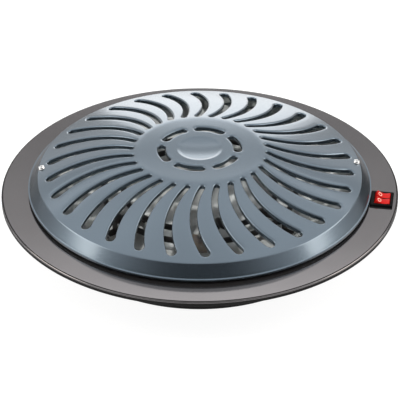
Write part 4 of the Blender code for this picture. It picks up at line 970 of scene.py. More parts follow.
    def layer(self, draft: Draft, offset: float, level: Level) -> tuple[list[list[int]], list[int]]:
        """Lays one face of the sheet, outer or inner.

        Args:
            draft: Where the points and faces go.
            offset: Distance of the sheet's inner edges outside the slots.
            level: Height as a function of radius.

        Returns:
            The rings round all slots, and the ring where the bevel begins.
        """
        n, back = self.rows, 2 * self.rows + self.cap + 1
        outline = self.swirl_outline()
        rings = [self.ring(draft, outline, turn, offset, level) for turn in self.swirl_turns()]
        outer: list[int] = []
        inner: list[int] = []
        for k, ring in enumerate(rings):
            following = rings[(k + 1) % self.slots]
            bars = []
            for a, b in zip(ring[n + self.cap : back][::-1], following):
                bars.append([a, *self.between(draft, a, b, self.columns, level), b])
            draft.strips(bars, closed=False)
            outer += ring[n : n + self.cap] + bars[n][:-1]
            inner += [ring[0], *ring[back:][::-1]] + bars[0][:-1]
        start = self.shoulder - self.margin
        crease = self.circle(draft, self.hub, level(self.hub))
        shoulder = self.circle(draft, start, level(start))
        self.bands(draft, outer, shoulder, self.bands_out, level)
        self.bands(draft, inner, crease, self.bands_in, level)
        rings += self.hub_layer(draft, crease, offset, level)
        return rings, shoulder

    def hub_layer(
        self, draft: Draft, crease: Sequence[int], offset: float, level: Level
    ) -> list[list[int]]:
        """Lays the sheet inside the hub's crease, down to the middle of the medallion.

        Args:
            draft: Where the points and faces go.
            crease: The ring at the crease.
            offset: Distance of the sheet's inner edges outside the slots.
            level: Height as a function of radius.

        Returns:
            The rings round the hub slots.
        """
        outline = self.hub_outline()
        corner = 2 * self.hub_cap + self.hub_columns
        rings = [self.ring(draft, outline, turn, offset, level) for turn in self.hub_turns()]
        far: list[int] = []
        near: list[int] = []
        for k, ring in enumerate(rings):
            following = rings[(k + 1) % self.hub_slots]
            bridge = self.between(draft, ring[corner], following[0], self.hub_bridge, level)
            far += ring[: corner + 1] + bridge
            near += [ring[0], *ring[corner + 1 :][::-1], ring[corner], *bridge]
        count = len(crease)
        start = self.hub_slot_phase - FULL_TURN * corner / count / 2
        shift = round((start - self.phase) / FULL_TURN * count + self.cap / 2) % count
        turned = [crease[(shift + j) % count] for j in range(count)]
        self.bands(draft, far, turned, self.bands_hub, level)
        rows = []
        for radius in self.medallion_rows:
            ring = self.circle(draft, radius, level(radius))
            rows.append([ring[(shift + j) % count] for j in range(count)])
        self.bands(draft, near, rows[0], self.bands_plate, level)
        draft.strips(rows)
        middle = draft.row([(0.0, 0.0, level(0.0))])[0]
        draft.strip(rows[-1], [middle] * count)
        draft.faces = [tuple(dict.fromkeys(face)) for face in draft.faces]
        return rings

    def build(self) -> bpy.types.Object:
        """Builds the guard with its rounded slot edges, their skirts and the hem.

        Returns:
            The guard's sheet.
        """
        draft = Draft()
        tops, high = self.layer(draft, self.lip, self.top)
        bottoms, low = self.layer(draft, self.skirt_rows[-1][0], self.under)
        outlines = [(self.swirl_outline(), turn) for turn in self.swirl_turns()]
        outlines += [(self.hub_outline(), turn) for turn in self.hub_turns()]
        for (outline, turn), first, last in zip(outlines, tops, bottoms):
            rows = [first]
            for a in quarter(self.lip_faces)[1:]:
                offset, drop = self.lip * (1 - math.sin(a)), self.fall * (1 - math.cos(a))
                rows.append(self.ring(draft, outline, turn, offset, self.top, drop))
            for offset, rise in self.skirt_rows:
                drop = self.skirt - rise
                rows.append(self.ring(draft, outline, turn, offset, self.under, drop))
            draft.strips([*rows, last])
        profile = [(self.shoulder + x, self.top(self.shoulder + x)) for x in self.shoulder_rows]
        profile += [(self.edge + x, self.foot_height + z) for x, z in self.hem_rows]
        profile += [(radius, self.under(radius)) for radius in self.under_rows]
        rings = [self.circle(draft, radius, height) for radius, height in profile]
        draft.strips([high, *rings, low])
        return fitted("guard_sheet", draft, Finish.SLATE, ["guard_grille"])

    def slope(self, radius: float, step: float = 0.0005) -> float:
        """How steeply the outer face falls at a radius."""
        return math.atan((self.top(radius - step) - self.top(radius + step)) / (2 * step))


@dataclass
class CrossHeadScrew:
    """A pan-head screw with a cross recess.

    Attributes:
        head: Radius of the head.
        height: Height of the head.
        shank: Radius of the shank.
        length: Length of the shank under the head.
        seat: Height of the head's underside in the screw's frame.
        cross: Half width of the recess.
        flare: Half width at the recess's top and width of its sides, as shares of cross, and
            length of its arms' sloping ends, as a share of the arms.
        reach: Length of the recess's arms, as a share of the head's radius.
        recess: Depth of the recess, as a share of the head's height.
        pitch: Height of one turn of the thread.
        core: Radius of the thread's core, as a share of the shank's.
        point: Radius of the shank's end, as a share of that core's.
        dome: Share of its height that the head loses by its edge, evenly and at the very edge.
        steps: Faces round the screw.
        rings: Faces from the head's middle to its edge.
    """

    head: float
    height: float
    shank: float
    length: float
    seat: float = 0.0
    cross: float = 0.0005
    flare: Point = (1.5, 0.8, 0.45)
    reach: float = 0.62
    recess: float = 0.75
    pitch: float = 0.0008
    core: float = 0.8
    point: float = 0.5
    dome: Flat = (0.12, 0.68)
    steps: int = 48
    rings: int = 18

    def crown(self, radius: float) -> float:
        """Height of the head's domed face at a radius."""
        share = min(radius / self.head, 1.0)
        return self.height * (1 - self.dome[0] * share**2 - self.dome[1] * share**6)

    def sink(self, x: float, y: float) -> float:
        """Depth of the cross recess at a place on the head.

        Args:
            x: Distance from the middle along one arm.
            y: Distance from the middle along the other.

        Returns:
            The depth, zero outside the recess.
        """
        arm = self.head * self.reach
        wide, side, end = self.flare
        depth = 0.0
        for a, b in ((abs(x), abs(y)), (abs(y), abs(x))):
            across = min(max((self.cross * wide - b) / (self.cross * side), 0.0), 1.0)
            along = min(max((arm - a) / (arm * end), 0.0), 1.0)
            depth = max(depth, across * along)
        return depth * self.height * self.recess

    def build(self, name: str, frame: Matrix, finish: Finish, node: str) -> bpy.types.Object:
        """Builds the screw.

        Args:
            name: Name of the piece.
            frame: Where it stands, with Z along the head.
            finish: Its finish.
            node: The CAD node that it stands for.

        Returns:
            The piece.
        """
        draft = Draft(frame)
        turns = around(self.steps)
        rows = []
        middle = draft.row([(0.0, 0.0, self.seat + self.height * (1 - self.recess))])[0]
        for j in range(1, self.rings + 1):
            radius = self.head * j / self.rings
            points = []
            for a in turns:
                x, y = radius * math.cos(a), radius * math.sin(a)
                points.append((x, y, self.seat + self.crown(radius) - self.sink(x, y)))
            rows.append(draft.row(points))
        tail = self.shank * self.core
        outline = [(self.head, 0.0), (self.shank, 0.0)]
        threads = max(3, int(self.length / self.pitch))
        for i in range(threads):
            z = -self.pitch / 2 - (self.length - self.pitch) * i / threads
            outline += [(self.shank, z), (tail, z - self.pitch / 2)]
        outline.append((tail * self.point, -self.length))
        for radius, height in outline:
            rows.append(draft.row(polar(radius, a, self.seat + height) for a in turns))
        draft.faces += [(rows[0][i - 1], rows[0][i], middle) for i in range(self.steps)]
        draft.strips(rows)
        draft.cap(rows[-1])
        return fitted(name, draft, finish, [node], crease=50.0)


@dataclass
class RimRing:
    """The flat brim with its rolled lip.

    Attributes:
        hole: Radius of the opening.
        edge: Radius of the lip.
        roll: Radius of the lip's roll.
        sheet: Thickness of the sheet.
        drop: Height of the lip.
        soft: Rounding of the sheet's cut edges.
        painted_shade_outside: Steepness of the lip, as its normals' height, between which it is
            brown;
            outside it, on the top of the roll and on the lip's side, black paint is painted shade
            in place of the dark reflections there.
        opening: Half length and half width of the switch's opening.
        flats: Radii of the rings on the flat, for an even net of faces.
        level: Steepness, as the normals' height, over which a face lies on the flat.
        steps: Faces round the brim.
    """

    hole: float = 0.152
    edge: float = 0.22
    roll: float = 0.0022
    sheet: float = 0.001
    drop: float = 0.0055
    soft: float = 0.0003
    painted_shade_outside: Flat = (0.26, 0.82)
    opening: Flat = (0.0106, 0.01255)
    flats: tuple[float, ...] = (0.17, 0.19, 0.2, 0.21, 0.215, 0.2174)
    level: float = 0.999
    steps: int = 288

    def outline(self) -> list[Flat]:
        """The brim's section, as radius and height.

        Returns:
            Its points: top, roll, lip and underside.
        """
        bend = (self.edge - self.roll, -self.roll)
        inside, foot = self.edge - self.sheet, -self.drop
        points = [(self.hole, -self.soft), (self.hole + self.soft, 0.0)]
        points += [(radius, 0.0) for radius in self.flats]
        points += arc(bend, self.roll, 88.0, 0.0, 14)
        points += [(self.edge, foot + self.soft), (self.edge - self.soft, foot)]
        points += [(inside + self.soft, foot), (inside, foot + self.soft)]
        points += arc(bend, self.roll - self.sheet, 0.0, 90.0, 5)
        points += [(self.flats[2], -self.sheet), (self.hole + self.soft, -self.sheet)]
        return points + [(self.hole, -self.sheet + self.soft)]

    def build(self) -> bpy.types.Object:
        """Builds the brim, cuts its openings and paints its side and the top of its roll black, as
        painted shade.

        Returns:
            The brim.
        """
        draft = Draft()
        draft.turned(self.outline(), self.steps)
        piece = fitted("rim_brim", draft, Finish.TAUPE, ["rim_ring"])
        tools = Draft(spot(TwinSwitch.circle, TwinSwitch.angle))
        tools.bar(oblong(*self.opening))
        hole = GuardFixings.rivet_hole
        for angle in GuardFixings.angles.values():
            tools.frame = spot(GuardFixings.rivet_circle, angle)
            cutter = [(0.0, -PUNCH), (hole, -PUNCH), (hole, PUNCH), (0.0, PUNCH)]
            tools.turned(cutter, 24, closed=False)
        pierce(piece, tools.mesh("rim_cuts"))
        # Painted shade: the lip's side and the top of its roll are black in place of the dark
        # reflections that the taupe lip shows there; the underside and the cut edges take the same
        # black.
        piece.data.materials.append(SHOP.tin(Finish.BLACK_PAINT))
        for face in piece.data.polygons:
            up = face.normal.z
            brown = up > self.level or self.painted_shade_outside[0] < up < self.painted_shade_outside[1]
            face.material_index = int(not brown)
        return piece


@dataclass
class BodyBowl:
    """The pressed bowl under the brim, with vents, feet holes and the ways for cord and wires.

    Attributes:
        radius: Outer radius of the wall.
        flange: Radius of the flange.
        top: Height of the flange's face.
        floor: Height of the bottom.
        sheet: Thickness of the sheet.
        corner: Outer radius of the bottom's corner.
        neck: Radius of the bend under the flange.
        vents: Number of vents.
        vent_reach: Radii between which the middles of a vent's ends lie.
        vent_half: Half the width of a vent.
        foot_hole: Radius of the feet's holes.
        cord_hole: Radius of the gland's hole.
        wire_half: Half the width of the wires' opening.
        vent_turn: Angle of the first vent.
        wall_rows: Heights of the rings on the wall, for an even net of faces.
        floor_rows: Radii of the rings on the bottom, from its corner inwards.
        steps: Faces round the bowl.
    """

    radius: float = 0.162
    flange: float = 0.181
    top: float = -0.0013
    floor: float = -0.055
    sheet: float = 0.0008
    corner: float = 0.005
    neck: float = 0.0012
    vents: int = 6
    vent_reach: Flat = (0.0415, 0.0655)
    vent_half: float = 0.0025
    foot_hole: float = 0.0033
    cord_hole: float = 0.0063
    wire_half: float = 0.0107
    vent_turn: float = math.radians(30.0)
    wall_rows: Flat = (-0.02, -0.04)
    floor_rows: Point = (0.14, 0.1, 0.05)
    steps: int = 180

    def outline(self) -> list[Flat]:
        """The bowl's section, as radius and height.

        Returns:
            Its points: flange, outside, bottom and inside.
        """
        bend = (self.radius - self.corner, self.floor + self.corner)
        neck = (self.radius + self.neck, self.top - self.sheet - self.neck)
        wall, base = self.radius - self.sheet, self.floor + self.sheet
        points = [(self.flange, self.top), (self.flange, self.top - self.sheet)]
        points += arc(neck, self.neck, 90.0, 180.0, 4)
        points += [(self.radius, height) for height in self.wall_rows]
        points += arc(bend, self.corner, 0.0, -90.0, 8)
        points += [(radius, self.floor) for radius in (*self.floor_rows, 0.0)]
        points += [(radius, base) for radius in (0.0, *self.floor_rows[::-2])]
        points += arc(bend, self.corner - self.sheet, -90.0, 0.0, 6)
        return points + [(wall, self.wall_rows[0]), (wall, self.top)]

    def build(self) -> bpy.types.Object:
        """Builds the bowl and cuts its openings.

        Returns:
            The bowl.
        """
        draft = Draft()
        draft.turned(self.outline(), self.steps)
        piece = fitted("body_pan", draft, Finish.BLACK_PAINT, ["body_bowl"])
        tools = Draft()
        near, far = self.vent_reach
        vent = arc((far, 0.0), self.vent_half, -90.0, 90.0, 6)
        vent += arc((near, 0.0), self.vent_half, 90.0, 270.0, 6)
        for turn in around(self.vents):
            tools.frame = spot(0.0, turn + self.vent_turn, self.floor)
            tools.bar(vent)
        for angle in Feet.angles:
            tools.frame = spot(Feet.circle, angle, self.floor)
            tools.bar(disc(self.foot_hole, 12))
        for angle in GuardFixings.angles.values():
            tools.frame = spot(GuardFixings.rivet_circle, angle, self.top)
            tools.bar(disc(GuardFixings.rivet_hole, 12))
        tools.frame = CordGland.axis()
        tools.bar(disc(self.cord_hole, 24))
        low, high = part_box("wire_grommet")
        tools.frame = spot(self.radius, TwinSwitch.angle, (low.z + high.z) / 2 - RIM_HEIGHT)
        tools.bar(oblong(PUNCH, self.wire_half))
        pierce(piece, tools.mesh("body_cuts"))
        return piece


@dataclass
class ReflectorDish:
    """The bright dish under the elements, pierced for their pins and for the guard's rivets.

    Attributes:
        flange: Radius of the upturned edge.
        mouth: Radius at which the flange turns down into the dish.
        floor_radius: Radius of the dish's flat bottom.
        depth: Depth of that bottom.
        seat: Height of the flange's underside.
        sheet: Thickness of the sheet.
        collar: Height of the upturned edge.
        lip: Width and height of the round top of that edge.
        soft: Rounding of the sheet's outer corners.
        inside: Rounding of its inner corners.
        bend: Half length of the bends at the mouth and at the foot of the slope.
        crest: Fall of the upper face at the middle of the bend at the mouth.
        slope: Places on the slope, under and over the sheet: distance inside the mouth, height.
        floor_ring: Radius of a ring on the bottom, for an even net of faces.
        pin_hole: Radius of the holes for the elements' pins.
        steps: Faces round the dish.
    """

    flange: float = 0.1806
    mouth: float = 0.149
    floor_radius: float = 0.125
    depth: float = 0.02
    seat: float = 0.0003
    sheet: float = 0.0008
    collar: float = 0.011
    lip: Flat = (0.0004, 0.0002)
    soft: float = 0.0006
    inside: float = 0.0003
    bend: float = 0.001
    crest: float = 0.0001
    slope: tuple[Flat, Flat] = ((0.012, -0.0102), (0.0125, -0.0092))
    floor_ring: float = 0.06
    pin_hole: float = 0.00385
    steps: int = 180

    def outline(self) -> list[Flat]:
        """The dish's section, as radius and height.

        Returns:
            Its points: upturned edge, underside and inner face.
        """
        base, wall, foot = self.seat, self.flange - self.sheet, self.floor_radius
        low, top, rim = -self.depth, -self.depth + self.sheet, self.seat + self.sheet
        edge, mouth, soft, inside, bend = self.flange, self.mouth, self.soft, self.inside, self.bend
        (under, under_z), (over, over_z) = self.slope
        points = [(wall, self.collar), (edge - self.lip[0], self.collar + self.lip[1])]
        points += [(edge, self.collar), (edge, base + soft)]
        points += [(edge - soft / 3, base + soft / 3), (edge - soft, base)]
        points += [(mouth + bend, base), (mouth, base - inside), (mouth - under, under_z)]
        points += [(foot + bend, low + soft), (foot - bend, low), (self.floor_ring, low)]
        points += [(0.0, low), (0.0, top), (self.floor_ring, top)]
        points += [(foot - 1.5 * bend, top), (foot, top + inside), (foot + 0.8 * bend, top + bend)]
        points += [(mouth - over, over_z), (mouth - bend, rim - soft), (mouth, rim - self.crest)]
        return points + [(mouth + bend, rim), (wall - inside, rim), (wall, rim + inside)]

    def build(self) -> bpy.types.Object:
        """Builds the dish and cuts its holes.

        Returns:
            The dish.
        """
        draft = Draft()
        draft.turned(self.outline(), self.steps)
        piece = fitted("reflector_pan", draft, Finish.GALVANISED, ["reflector_dish"])
        tools = Draft()
        for number in range(1, 5):
            low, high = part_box(f"element_pin_{number}")
            x, y = (low.x + high.x) / 2, (low.y + high.y) / 2
            tools.frame = Matrix.Translation((x, y, RIM_HEIGHT - self.depth))
            tools.bar(disc(self.pin_hole, 18))
        for angle in GuardFixings.angles.values():
            tools.frame = spot(GuardFixings.rivet_circle, angle)
            tools.bar(disc(GuardFixings.rivet_hole, 12))
        pierce(piece, tools.mesh("reflector_cuts"))
        return piece


@dataclass
class RingElements:
    """The two sheathed ring elements, each ending in two legs that pass down through the dish.

    Attributes:
        tube: Radius of the sheath.
        sides: Faces round the sheath.
        level: Height of the rings' middle line.
        leg_end: Height at which the legs end.
        outer: Radius of the outer ring.
        inner: Radius of the inner ring.
        legs: Radius of the circle on which the inner ring's legs stand.
        aside: Distance of each leg from the front line.
        bend: Radius of the bends.
        bend_steps: Points round each bend.
        outer_steps: Points along the outer ring.
        inner_steps: Points along the inner ring.
    """

    tube: float = 0.00325
    sides: int = 20
    level: float = -0.0053
    leg_end: float = -0.029207
    outer: float = 0.107
    inner: float = 0.085
    legs: float = 0.062
    aside: float = 0.0183
    bend: float = 0.009
    bend_steps: int = 8
    outer_steps: int = 120
    inner_steps: int = 100

    def closed(
        self, rise: list[Vector], radius: float, first: float, last: float, steps: int
    ) -> list[Vector]:
        """Carries a leg on round its ring and down the other leg, its mirror image.

        Args:
            rise: The first leg, up to the ring.
            radius: Radius of the ring.
            first: Angle at which the ring begins.
            last: Angle at which it ends.
            steps: Steps round the ring.

        Returns:
            Middle line of the whole element.
        """
        turns = [lerp(first, last, i / steps) for i in range(1, steps)]
        ring = [Vector(polar(radius, a, self.level)) for a in turns]
        return rise + ring + [Vector((-p.x, p.y, p.z)) for p in reversed(rise)]

    def outer_route(self) -> list[Vector]:
        """Follows the outer element, whose legs bend straight into the ring.

        Returns:
            Its middle line.
        """
        first = -QUARTER + math.asin(self.aside / self.outer)
        last = 3 * QUARTER - math.asin(self.aside / self.outer)
        turn = self.bend / self.outer
        rise = [Vector(polar(self.outer, first, self.leg_end))]
        for a in quarter(self.bend_steps):
            height = self.level - self.bend * (1 - math.sin(a))
            rise.append(Vector(polar(self.outer, first + turn * (1 - math.cos(a)), height)))
        return self.closed(rise, self.outer, first + turn, last - turn, self.outer_steps)

    def inner_route(self) -> list[Vector]:
        """Follows the inner element, whose legs bend outwards and then into the ring.

        Returns:
            Its middle line.
        """
        gap = math.asin(self.aside / self.legs)
        first, last = -QUARTER + gap, 3 * QUARTER - gap
        turn = self.bend / self.inner
        rise = [Vector(polar(self.legs, first, self.leg_end))]
        for a in quarter(self.bend_steps):
            height = self.level - self.bend * (1 - math.sin(a))
            rise.append(Vector(polar(self.legs + self.bend * (1 - math.cos(a)), first, height)))
        for a in quarter(self.bend_steps):
            radius = self.inner - self.bend * (1 - math.sin(a))
            rise.append(Vector(polar(radius, first + turn * (1 - math.cos(a)), self.level)))
        return self.closed(rise, self.inner, first + turn, last - turn, self.inner_steps)

    def build(self) -> None:
        """Builds both elements."""
        for side, route in (("outer", self.outer_route()), ("inner", self.inner_route())):
            draft = Draft()
            draft.swept(route, self.tube, self.sides)
            fitted(f"{side}_sheath", draft, Finish.SHEATH, [f"{side}_element"], crease=60.0)


@dataclass
class GuardFixings:
    """The screws that hold the guard, and the rivets that clamp its brackets.

    Attributes:
        angles: Angles of the brackets and rivets; the screws stand at the left and right ones.
        screw_circle: Distance of the screws from the middle.
        rivet_circle: Distance of the rivets from the middle.
        rivet_hole: Radius of the rivets' holes.
        rivet: A rivet's section, from its head to its closed end, as radius and height.
    """

    angles: ClassVar[dict[str, float]] = {
        "right": math.radians(4.0),
        "back": math.radians(85.9),
        "left": math.radians(179.5),
        "front": math.radians(265.9),
    }
    screw_circle: float = 0.1751
    rivet_circle: float = 0.1734
    rivet_hole: float = 0.0022
    rivet: tuple[Flat, ...] = (
        (0.0, 0.0041), (0.0012, 0.004), (0.0024, 0.0036), (0.0031, 0.0031), (0.0034, 0.0026),
        (0.0019, 0.0026), (0.0019, -0.0024),
        (0.0031, -0.0024), (0.0026, -0.0034), (0.0016, -0.0039), (0.0, -0.0039),
    )

    def build(self, guard: GuardGrille) -> None:
        """Builds both screws and the four rivets.

        Args:
            guard: The guard, on whose face the screws lie.
        """
        screw = CrossHeadScrew(
            head=0.0039, height=0.0029, shank=0.00175, length=0.0073, seat=0.0002, cross=0.0008
        )
        for side in ("right", "left"):
            frame = spot(self.screw_circle, self.angles[side], guard.top(self.screw_circle))
            frame = frame @ Matrix.Rotation(guard.slope(self.screw_circle), 4, "Y")
            screw.build(f"guard_screw_head_{side}", frame, Finish.CHROME, f"guard_screw_{side}")
        for side, angle in self.angles.items():
            draft = Draft(spot(self.rivet_circle, angle))
            draft.turned(self.rivet, 32, closed=False)
            fitted(f"rivet_{side}", draft, Finish.ZINC, [f"guard_rivet_{side}"])


@dataclass
class TwinSwitch:
    """The twin rocker switch on the brim.

    Attributes:
        angle: Angle at which it stands.
        circle: Distance of its case's middle from the rim's.
        length: Radial length of the bezel.
        shift: How far the bezel's middle lies inside the case's.
        width: Width of the bezel.
        height: Height of the bezel over its seat.
        seat: Gap between brim and bezel.
        depth: Depth of the case under the brim.
        inner: Half length and half width of the case.
        case_corner: Rounding of the case's upright edges.
        case_bevel: Bevel round the case's bottom.
        bezel_foot: Bevel round the bezel's underside.
        bezel_soft: Rounding of the bezel's edges.
        bezel_spread: How much rounder its corners are at the top.
        pocket: Half length and half width of each rocker's pocket.
        pocket_corner: Rounding of the pocket's corners.
        pocket_reach: Heights between which the pockets are cut.
        pivot: Depth of the rockers' pivots under the brim's face.
        swing: Radius that the rockers' ends swing on.
        aside: Distance of each rocker's middle from the switch's middle.
        rocker_half: Half the width of a rocker.
        rocker_soft: Rounding of a rocker's sides.
        rocker_mid: Inset at the middle of that rounding, as a share of it.
        hollow: Depth of the hollow in each half of a rocker's face.
        face_end: Distance of that face's ends from its middle, as a share of swing.
        face_dip: Height of its middle, as a share of swing.
        face_crown: Height of its ends, as a share of swing.
        face_rows: Faces along each half of it.
        face_crease: Depth of the crease where its halves meet.
        nose_turn: How far under the face's ends the round ends stop, in degrees.
        nose: How far inside them the two points lie that round the edge between.
        waist: How far under the pivot the round ends begin, as a share of swing.
        foot: How far under the pivot the rocker's base lies, as a share of swing.
        base: Half the length of that base, as a share of swing.
        tilt: Angle at which the rockers rest, outer end down.
        pin: Radius of a rocker's trunnions.
        pin_reach: How far they reach out of the rocker.
        mark_at: Distance of the ring mark's middle from the rocker's.
        mark_half: Half length and half width of the ring mark.
        mark_rows: The ring mark's section, as share of its size and height over the face.
    """

    angle: float = math.radians(-9.8)
    circle: float = 0.20295
    length: float = 0.0246
    shift: float = 0.0006
    width: float = 0.0285
    height: float = 0.0023
    seat: float = 0.0003
    depth: float = 0.014
    inner: Flat = (0.0103, 0.01225)
    case_corner: float = 0.0006
    case_bevel: float = 0.0004
    bezel_foot: float = 0.0001
    bezel_soft: float = 0.0008
    bezel_spread: float = 0.0002
    pocket: Flat = (0.009, 0.005175)
    pocket_corner: float = 0.0005
    pocket_reach: Flat = (-0.007, 0.006)
    pivot: float = 0.0006
    swing: float = 0.00875
    aside: float = 0.005775
    rocker_half: float = 0.004925
    rocker_soft: float = 0.00035
    rocker_mid: float = 0.3
    hollow: float = 0.00035
    face_end: float = 0.783
    face_dip: float = 0.36
    face_crown: float = 0.6
    face_rows: int = 10
    face_crease: float = 0.00002
    nose_turn: float = 3.0
    nose: Flat = (0.0001, 0.0004)
    waist: float = 0.32
    foot: float = 0.48
    base: float = 0.35
    tilt: float = math.radians(10.0)
    pin: float = 0.0012
    pin_reach: float = 0.00075
    mark_at: float = 0.0037
    mark_half: Flat = (0.002, 0.0028)
    mark_rows: tuple[Flat, ...] = (
        (0.8, -0.0001), (0.8, 0.00008), (0.85, 0.00013),
        (0.97, 0.00013), (1.02, 0.00008), (1.02, -0.0001),
    )

    def plate(self, half_x: float, half_y: float, corner: float) -> list[Flat]:
        """A rectangle with rounded corners.

        Args:
            half_x: Half its length.
            half_y: Half its width.
            corner: Radius of its corners.

        Returns:
            Its points.
        """
        points: list[Flat] = []
        for x, y, first in ((1, 1, 0), (-1, 1, 90), (-1, -1, 180), (1, -1, 270)):
            centre = (x * (half_x - corner), y * (half_y - corner))
            points += arc(centre, corner, first, first + 90, 4)
        return points

    def case_levels(self) -> list[tuple[float, float, float, float]]:
        """The case and its bezel, from the bottom up.

        Returns:
            Half length, half width, corner radius and height at each level.
        """
        half_x, half_y, top = self.length / 2, self.width / 2, self.seat + self.height
        inner_x, inner_y = self.inner
        bevel, foot = self.case_bevel, self.bezel_foot
        levels = [(inner_x - bevel, inner_y - bevel, bevel, -self.depth)]
        levels += [(inner_x, inner_y, self.case_corner, -self.depth + bevel)]
        levels += [(inner_x, inner_y, self.case_corner, self.seat)]
        levels += [(half_x - foot, half_y - foot, self.bezel_soft, self.seat)]
        levels += [(half_x, half_y, self.bezel_soft, self.seat + foot)]
        levels += [(half_x, half_y, self.bezel_soft, top - self.bezel_soft)]
        for a in (30, 60, 90):
            sink = self.bezel_soft * (1 - math.sin(math.radians(a)))
            grow = self.bezel_soft * (1 - math.cos(math.radians(a)))
            corner = self.bezel_soft + self.bezel_spread * a / 90
            levels.append((half_x - grow, half_y - grow, corner, top - sink))
        return levels

    def case(self) -> None:
        """Builds the case and its bezel, with a pocket for each rocker."""
        draft = Draft(spot(self.circle, self.angle))
        rows = []
        for half_x, half_y, corner, z in self.case_levels():
            shift = self.shift if half_x > self.inner[0] else 0.0
            rows.append(draft.row((x - shift, y, z) for x, y in self.plate(half_x, half_y, corner)))
        draft.strips(rows)
        draft.cap(rows[0])
        draft.cap(rows[-1])
        piece = fitted("switch_case", draft, Finish.BLACK_PLASTIC, ["switch_body"])
        tools = Draft(spot(self.circle, self.angle))
        for side in Side:
            corners = self.plate(*self.pocket, self.pocket_corner)
            tools.bar([(x, y + side.value * self.aside) for x, y in corners], *self.pocket_reach)
        pierce(piece, tools.mesh("switch_pockets"))

    def face(self, x: float) -> float:
        """Height of a rocker's hollow face.

        Args:
            x: Distance from the face's middle.

        Returns:
            The height over the pivot there.
        """
        share = x / (self.swing * self.face_end)
        flat = self.swing * lerp(self.face_dip, self.face_crown, share)
        return flat - self.hollow * math.sin(math.pi * share)

    def rocker_outline(self) -> list[Flat]:
        """Side view of a rocker about its pivot: two hollow faces that meet in a dip.

        Returns:
            Its points, as distance from the middle and height.
        """
        crown, foot, base = (self.swing * s for s in (self.face_crown, -self.foot, self.base))
        end = math.degrees(math.asin(self.face_crown))
        waist = math.degrees(math.asin(-self.waist))
        near = arc((0.0, 0.0), self.swing, waist, end - self.nose_turn, 5)
        edge, rows = near[-1][0], self.face_rows
        first, second = self.nose
        face = [(edge - second) * (1 - i / rows) for i in range(1, rows)]
        right = [*near, (edge - first, crown - first), (edge - second, crown)]
        right += [(x, self.face(x)) for x in face]
        left = [(-x, z) for x, z in reversed(right)]
        middle = (0.0, self.face(0.0) - self.face_crease)
        return [(base, foot), *right, middle, *left, (-base, foot)]

    def key(self, draft: Draft) -> None:
        """Shapes one rocker, with rounded sides.

        Args:
            draft: Where its points and faces go, about the rocker's pivot.
        """
        outline = self.rocker_outline()
        half, soft = self.rocker_half, self.rocker_soft
        mid = soft * self.rocker_mid
        sides = [(-half, soft), (-half + mid, mid), (-half + soft, 0.0)]
        sides += [(half - soft, 0.0), (half - mid, mid), (half, soft)]
        rows = []
        for y, inset in sides:
            scale = 1 - inset / self.swing
            rows.append(draft.row((x * scale, y, z * scale) for x, z in outline))
        draft.strips(rows)
        draft.cap(rows[0])
        draft.cap(rows[-1])

    def trunnions(self, draft: Draft) -> None:
        """Shapes the pin that a rocker turns on.

        Args:
            draft: Where its points and faces go, with Z along the pin.
        """
        reach, soft = self.rocker_half + self.pin_reach, 0.0002
        outline = [(0.0, -reach), (self.pin - soft, -reach), (self.pin, -reach + soft)]
        outline += [(self.pin, reach - soft), (self.pin - soft, reach), (0.0, reach)]
        draft.turned(outline, 24, closed=False)

    def mark(self, draft: Draft) -> None:
        """Shapes the ring mark on a rocker's raised end.

        Args:
            draft: Where its points and faces go, about the rocker's pivot.
        """
        half_x, half_y = self.mark_half
        oval = [(half_x * math.cos(a), half_y * math.sin(a)) for a in around(40)]
        rows = []
        for scale, lift in self.mark_rows:
            points = [(x * scale - self.mark_at, y * scale) for x, y in oval]
            rows.append(draft.row((x, y, self.face(-x) + lift) for x, y in points))
        draft.strips([*rows, rows[0]])

    def rocker(self, side: Side) -> None:
        """Builds one rocker, its trunnions and its ring mark.

        Args:
            side: The half of the switch that it is on.
        """
        name = side.name.lower()
        body = Body[f"{side.name}_ROCKER"]
        pivot = Matrix.Translation((0.0, side.value * self.aside, -self.pivot))
        frame = spot(self.circle, self.angle) @ pivot @ Matrix.Rotation(self.tilt, 4, "Y")
        draft = Draft(frame)
        self.key(draft)
        nodes = [f"rocker_{name}"]
        fitted(f"rocker_key_{name}", draft, Finish.RED_PLASTIC, nodes, body, 40.0)
        draft = Draft(frame @ Matrix.Rotation(-QUARTER, 4, "X"))
        self.trunnions(draft)
        fitted(f"rocker_trunnion_{name}", draft, Finish.RED_PLASTIC, (), body)
        draft = Draft(frame)
        self.mark(draft)
        fitted(f"rocker_ring_mark_{name}", draft, Finish.MARK, (), body)

    def build(self) -> None:
        """Builds the case and both rockers."""
        self.case()
        for side in Side:
            self.rocker(side)


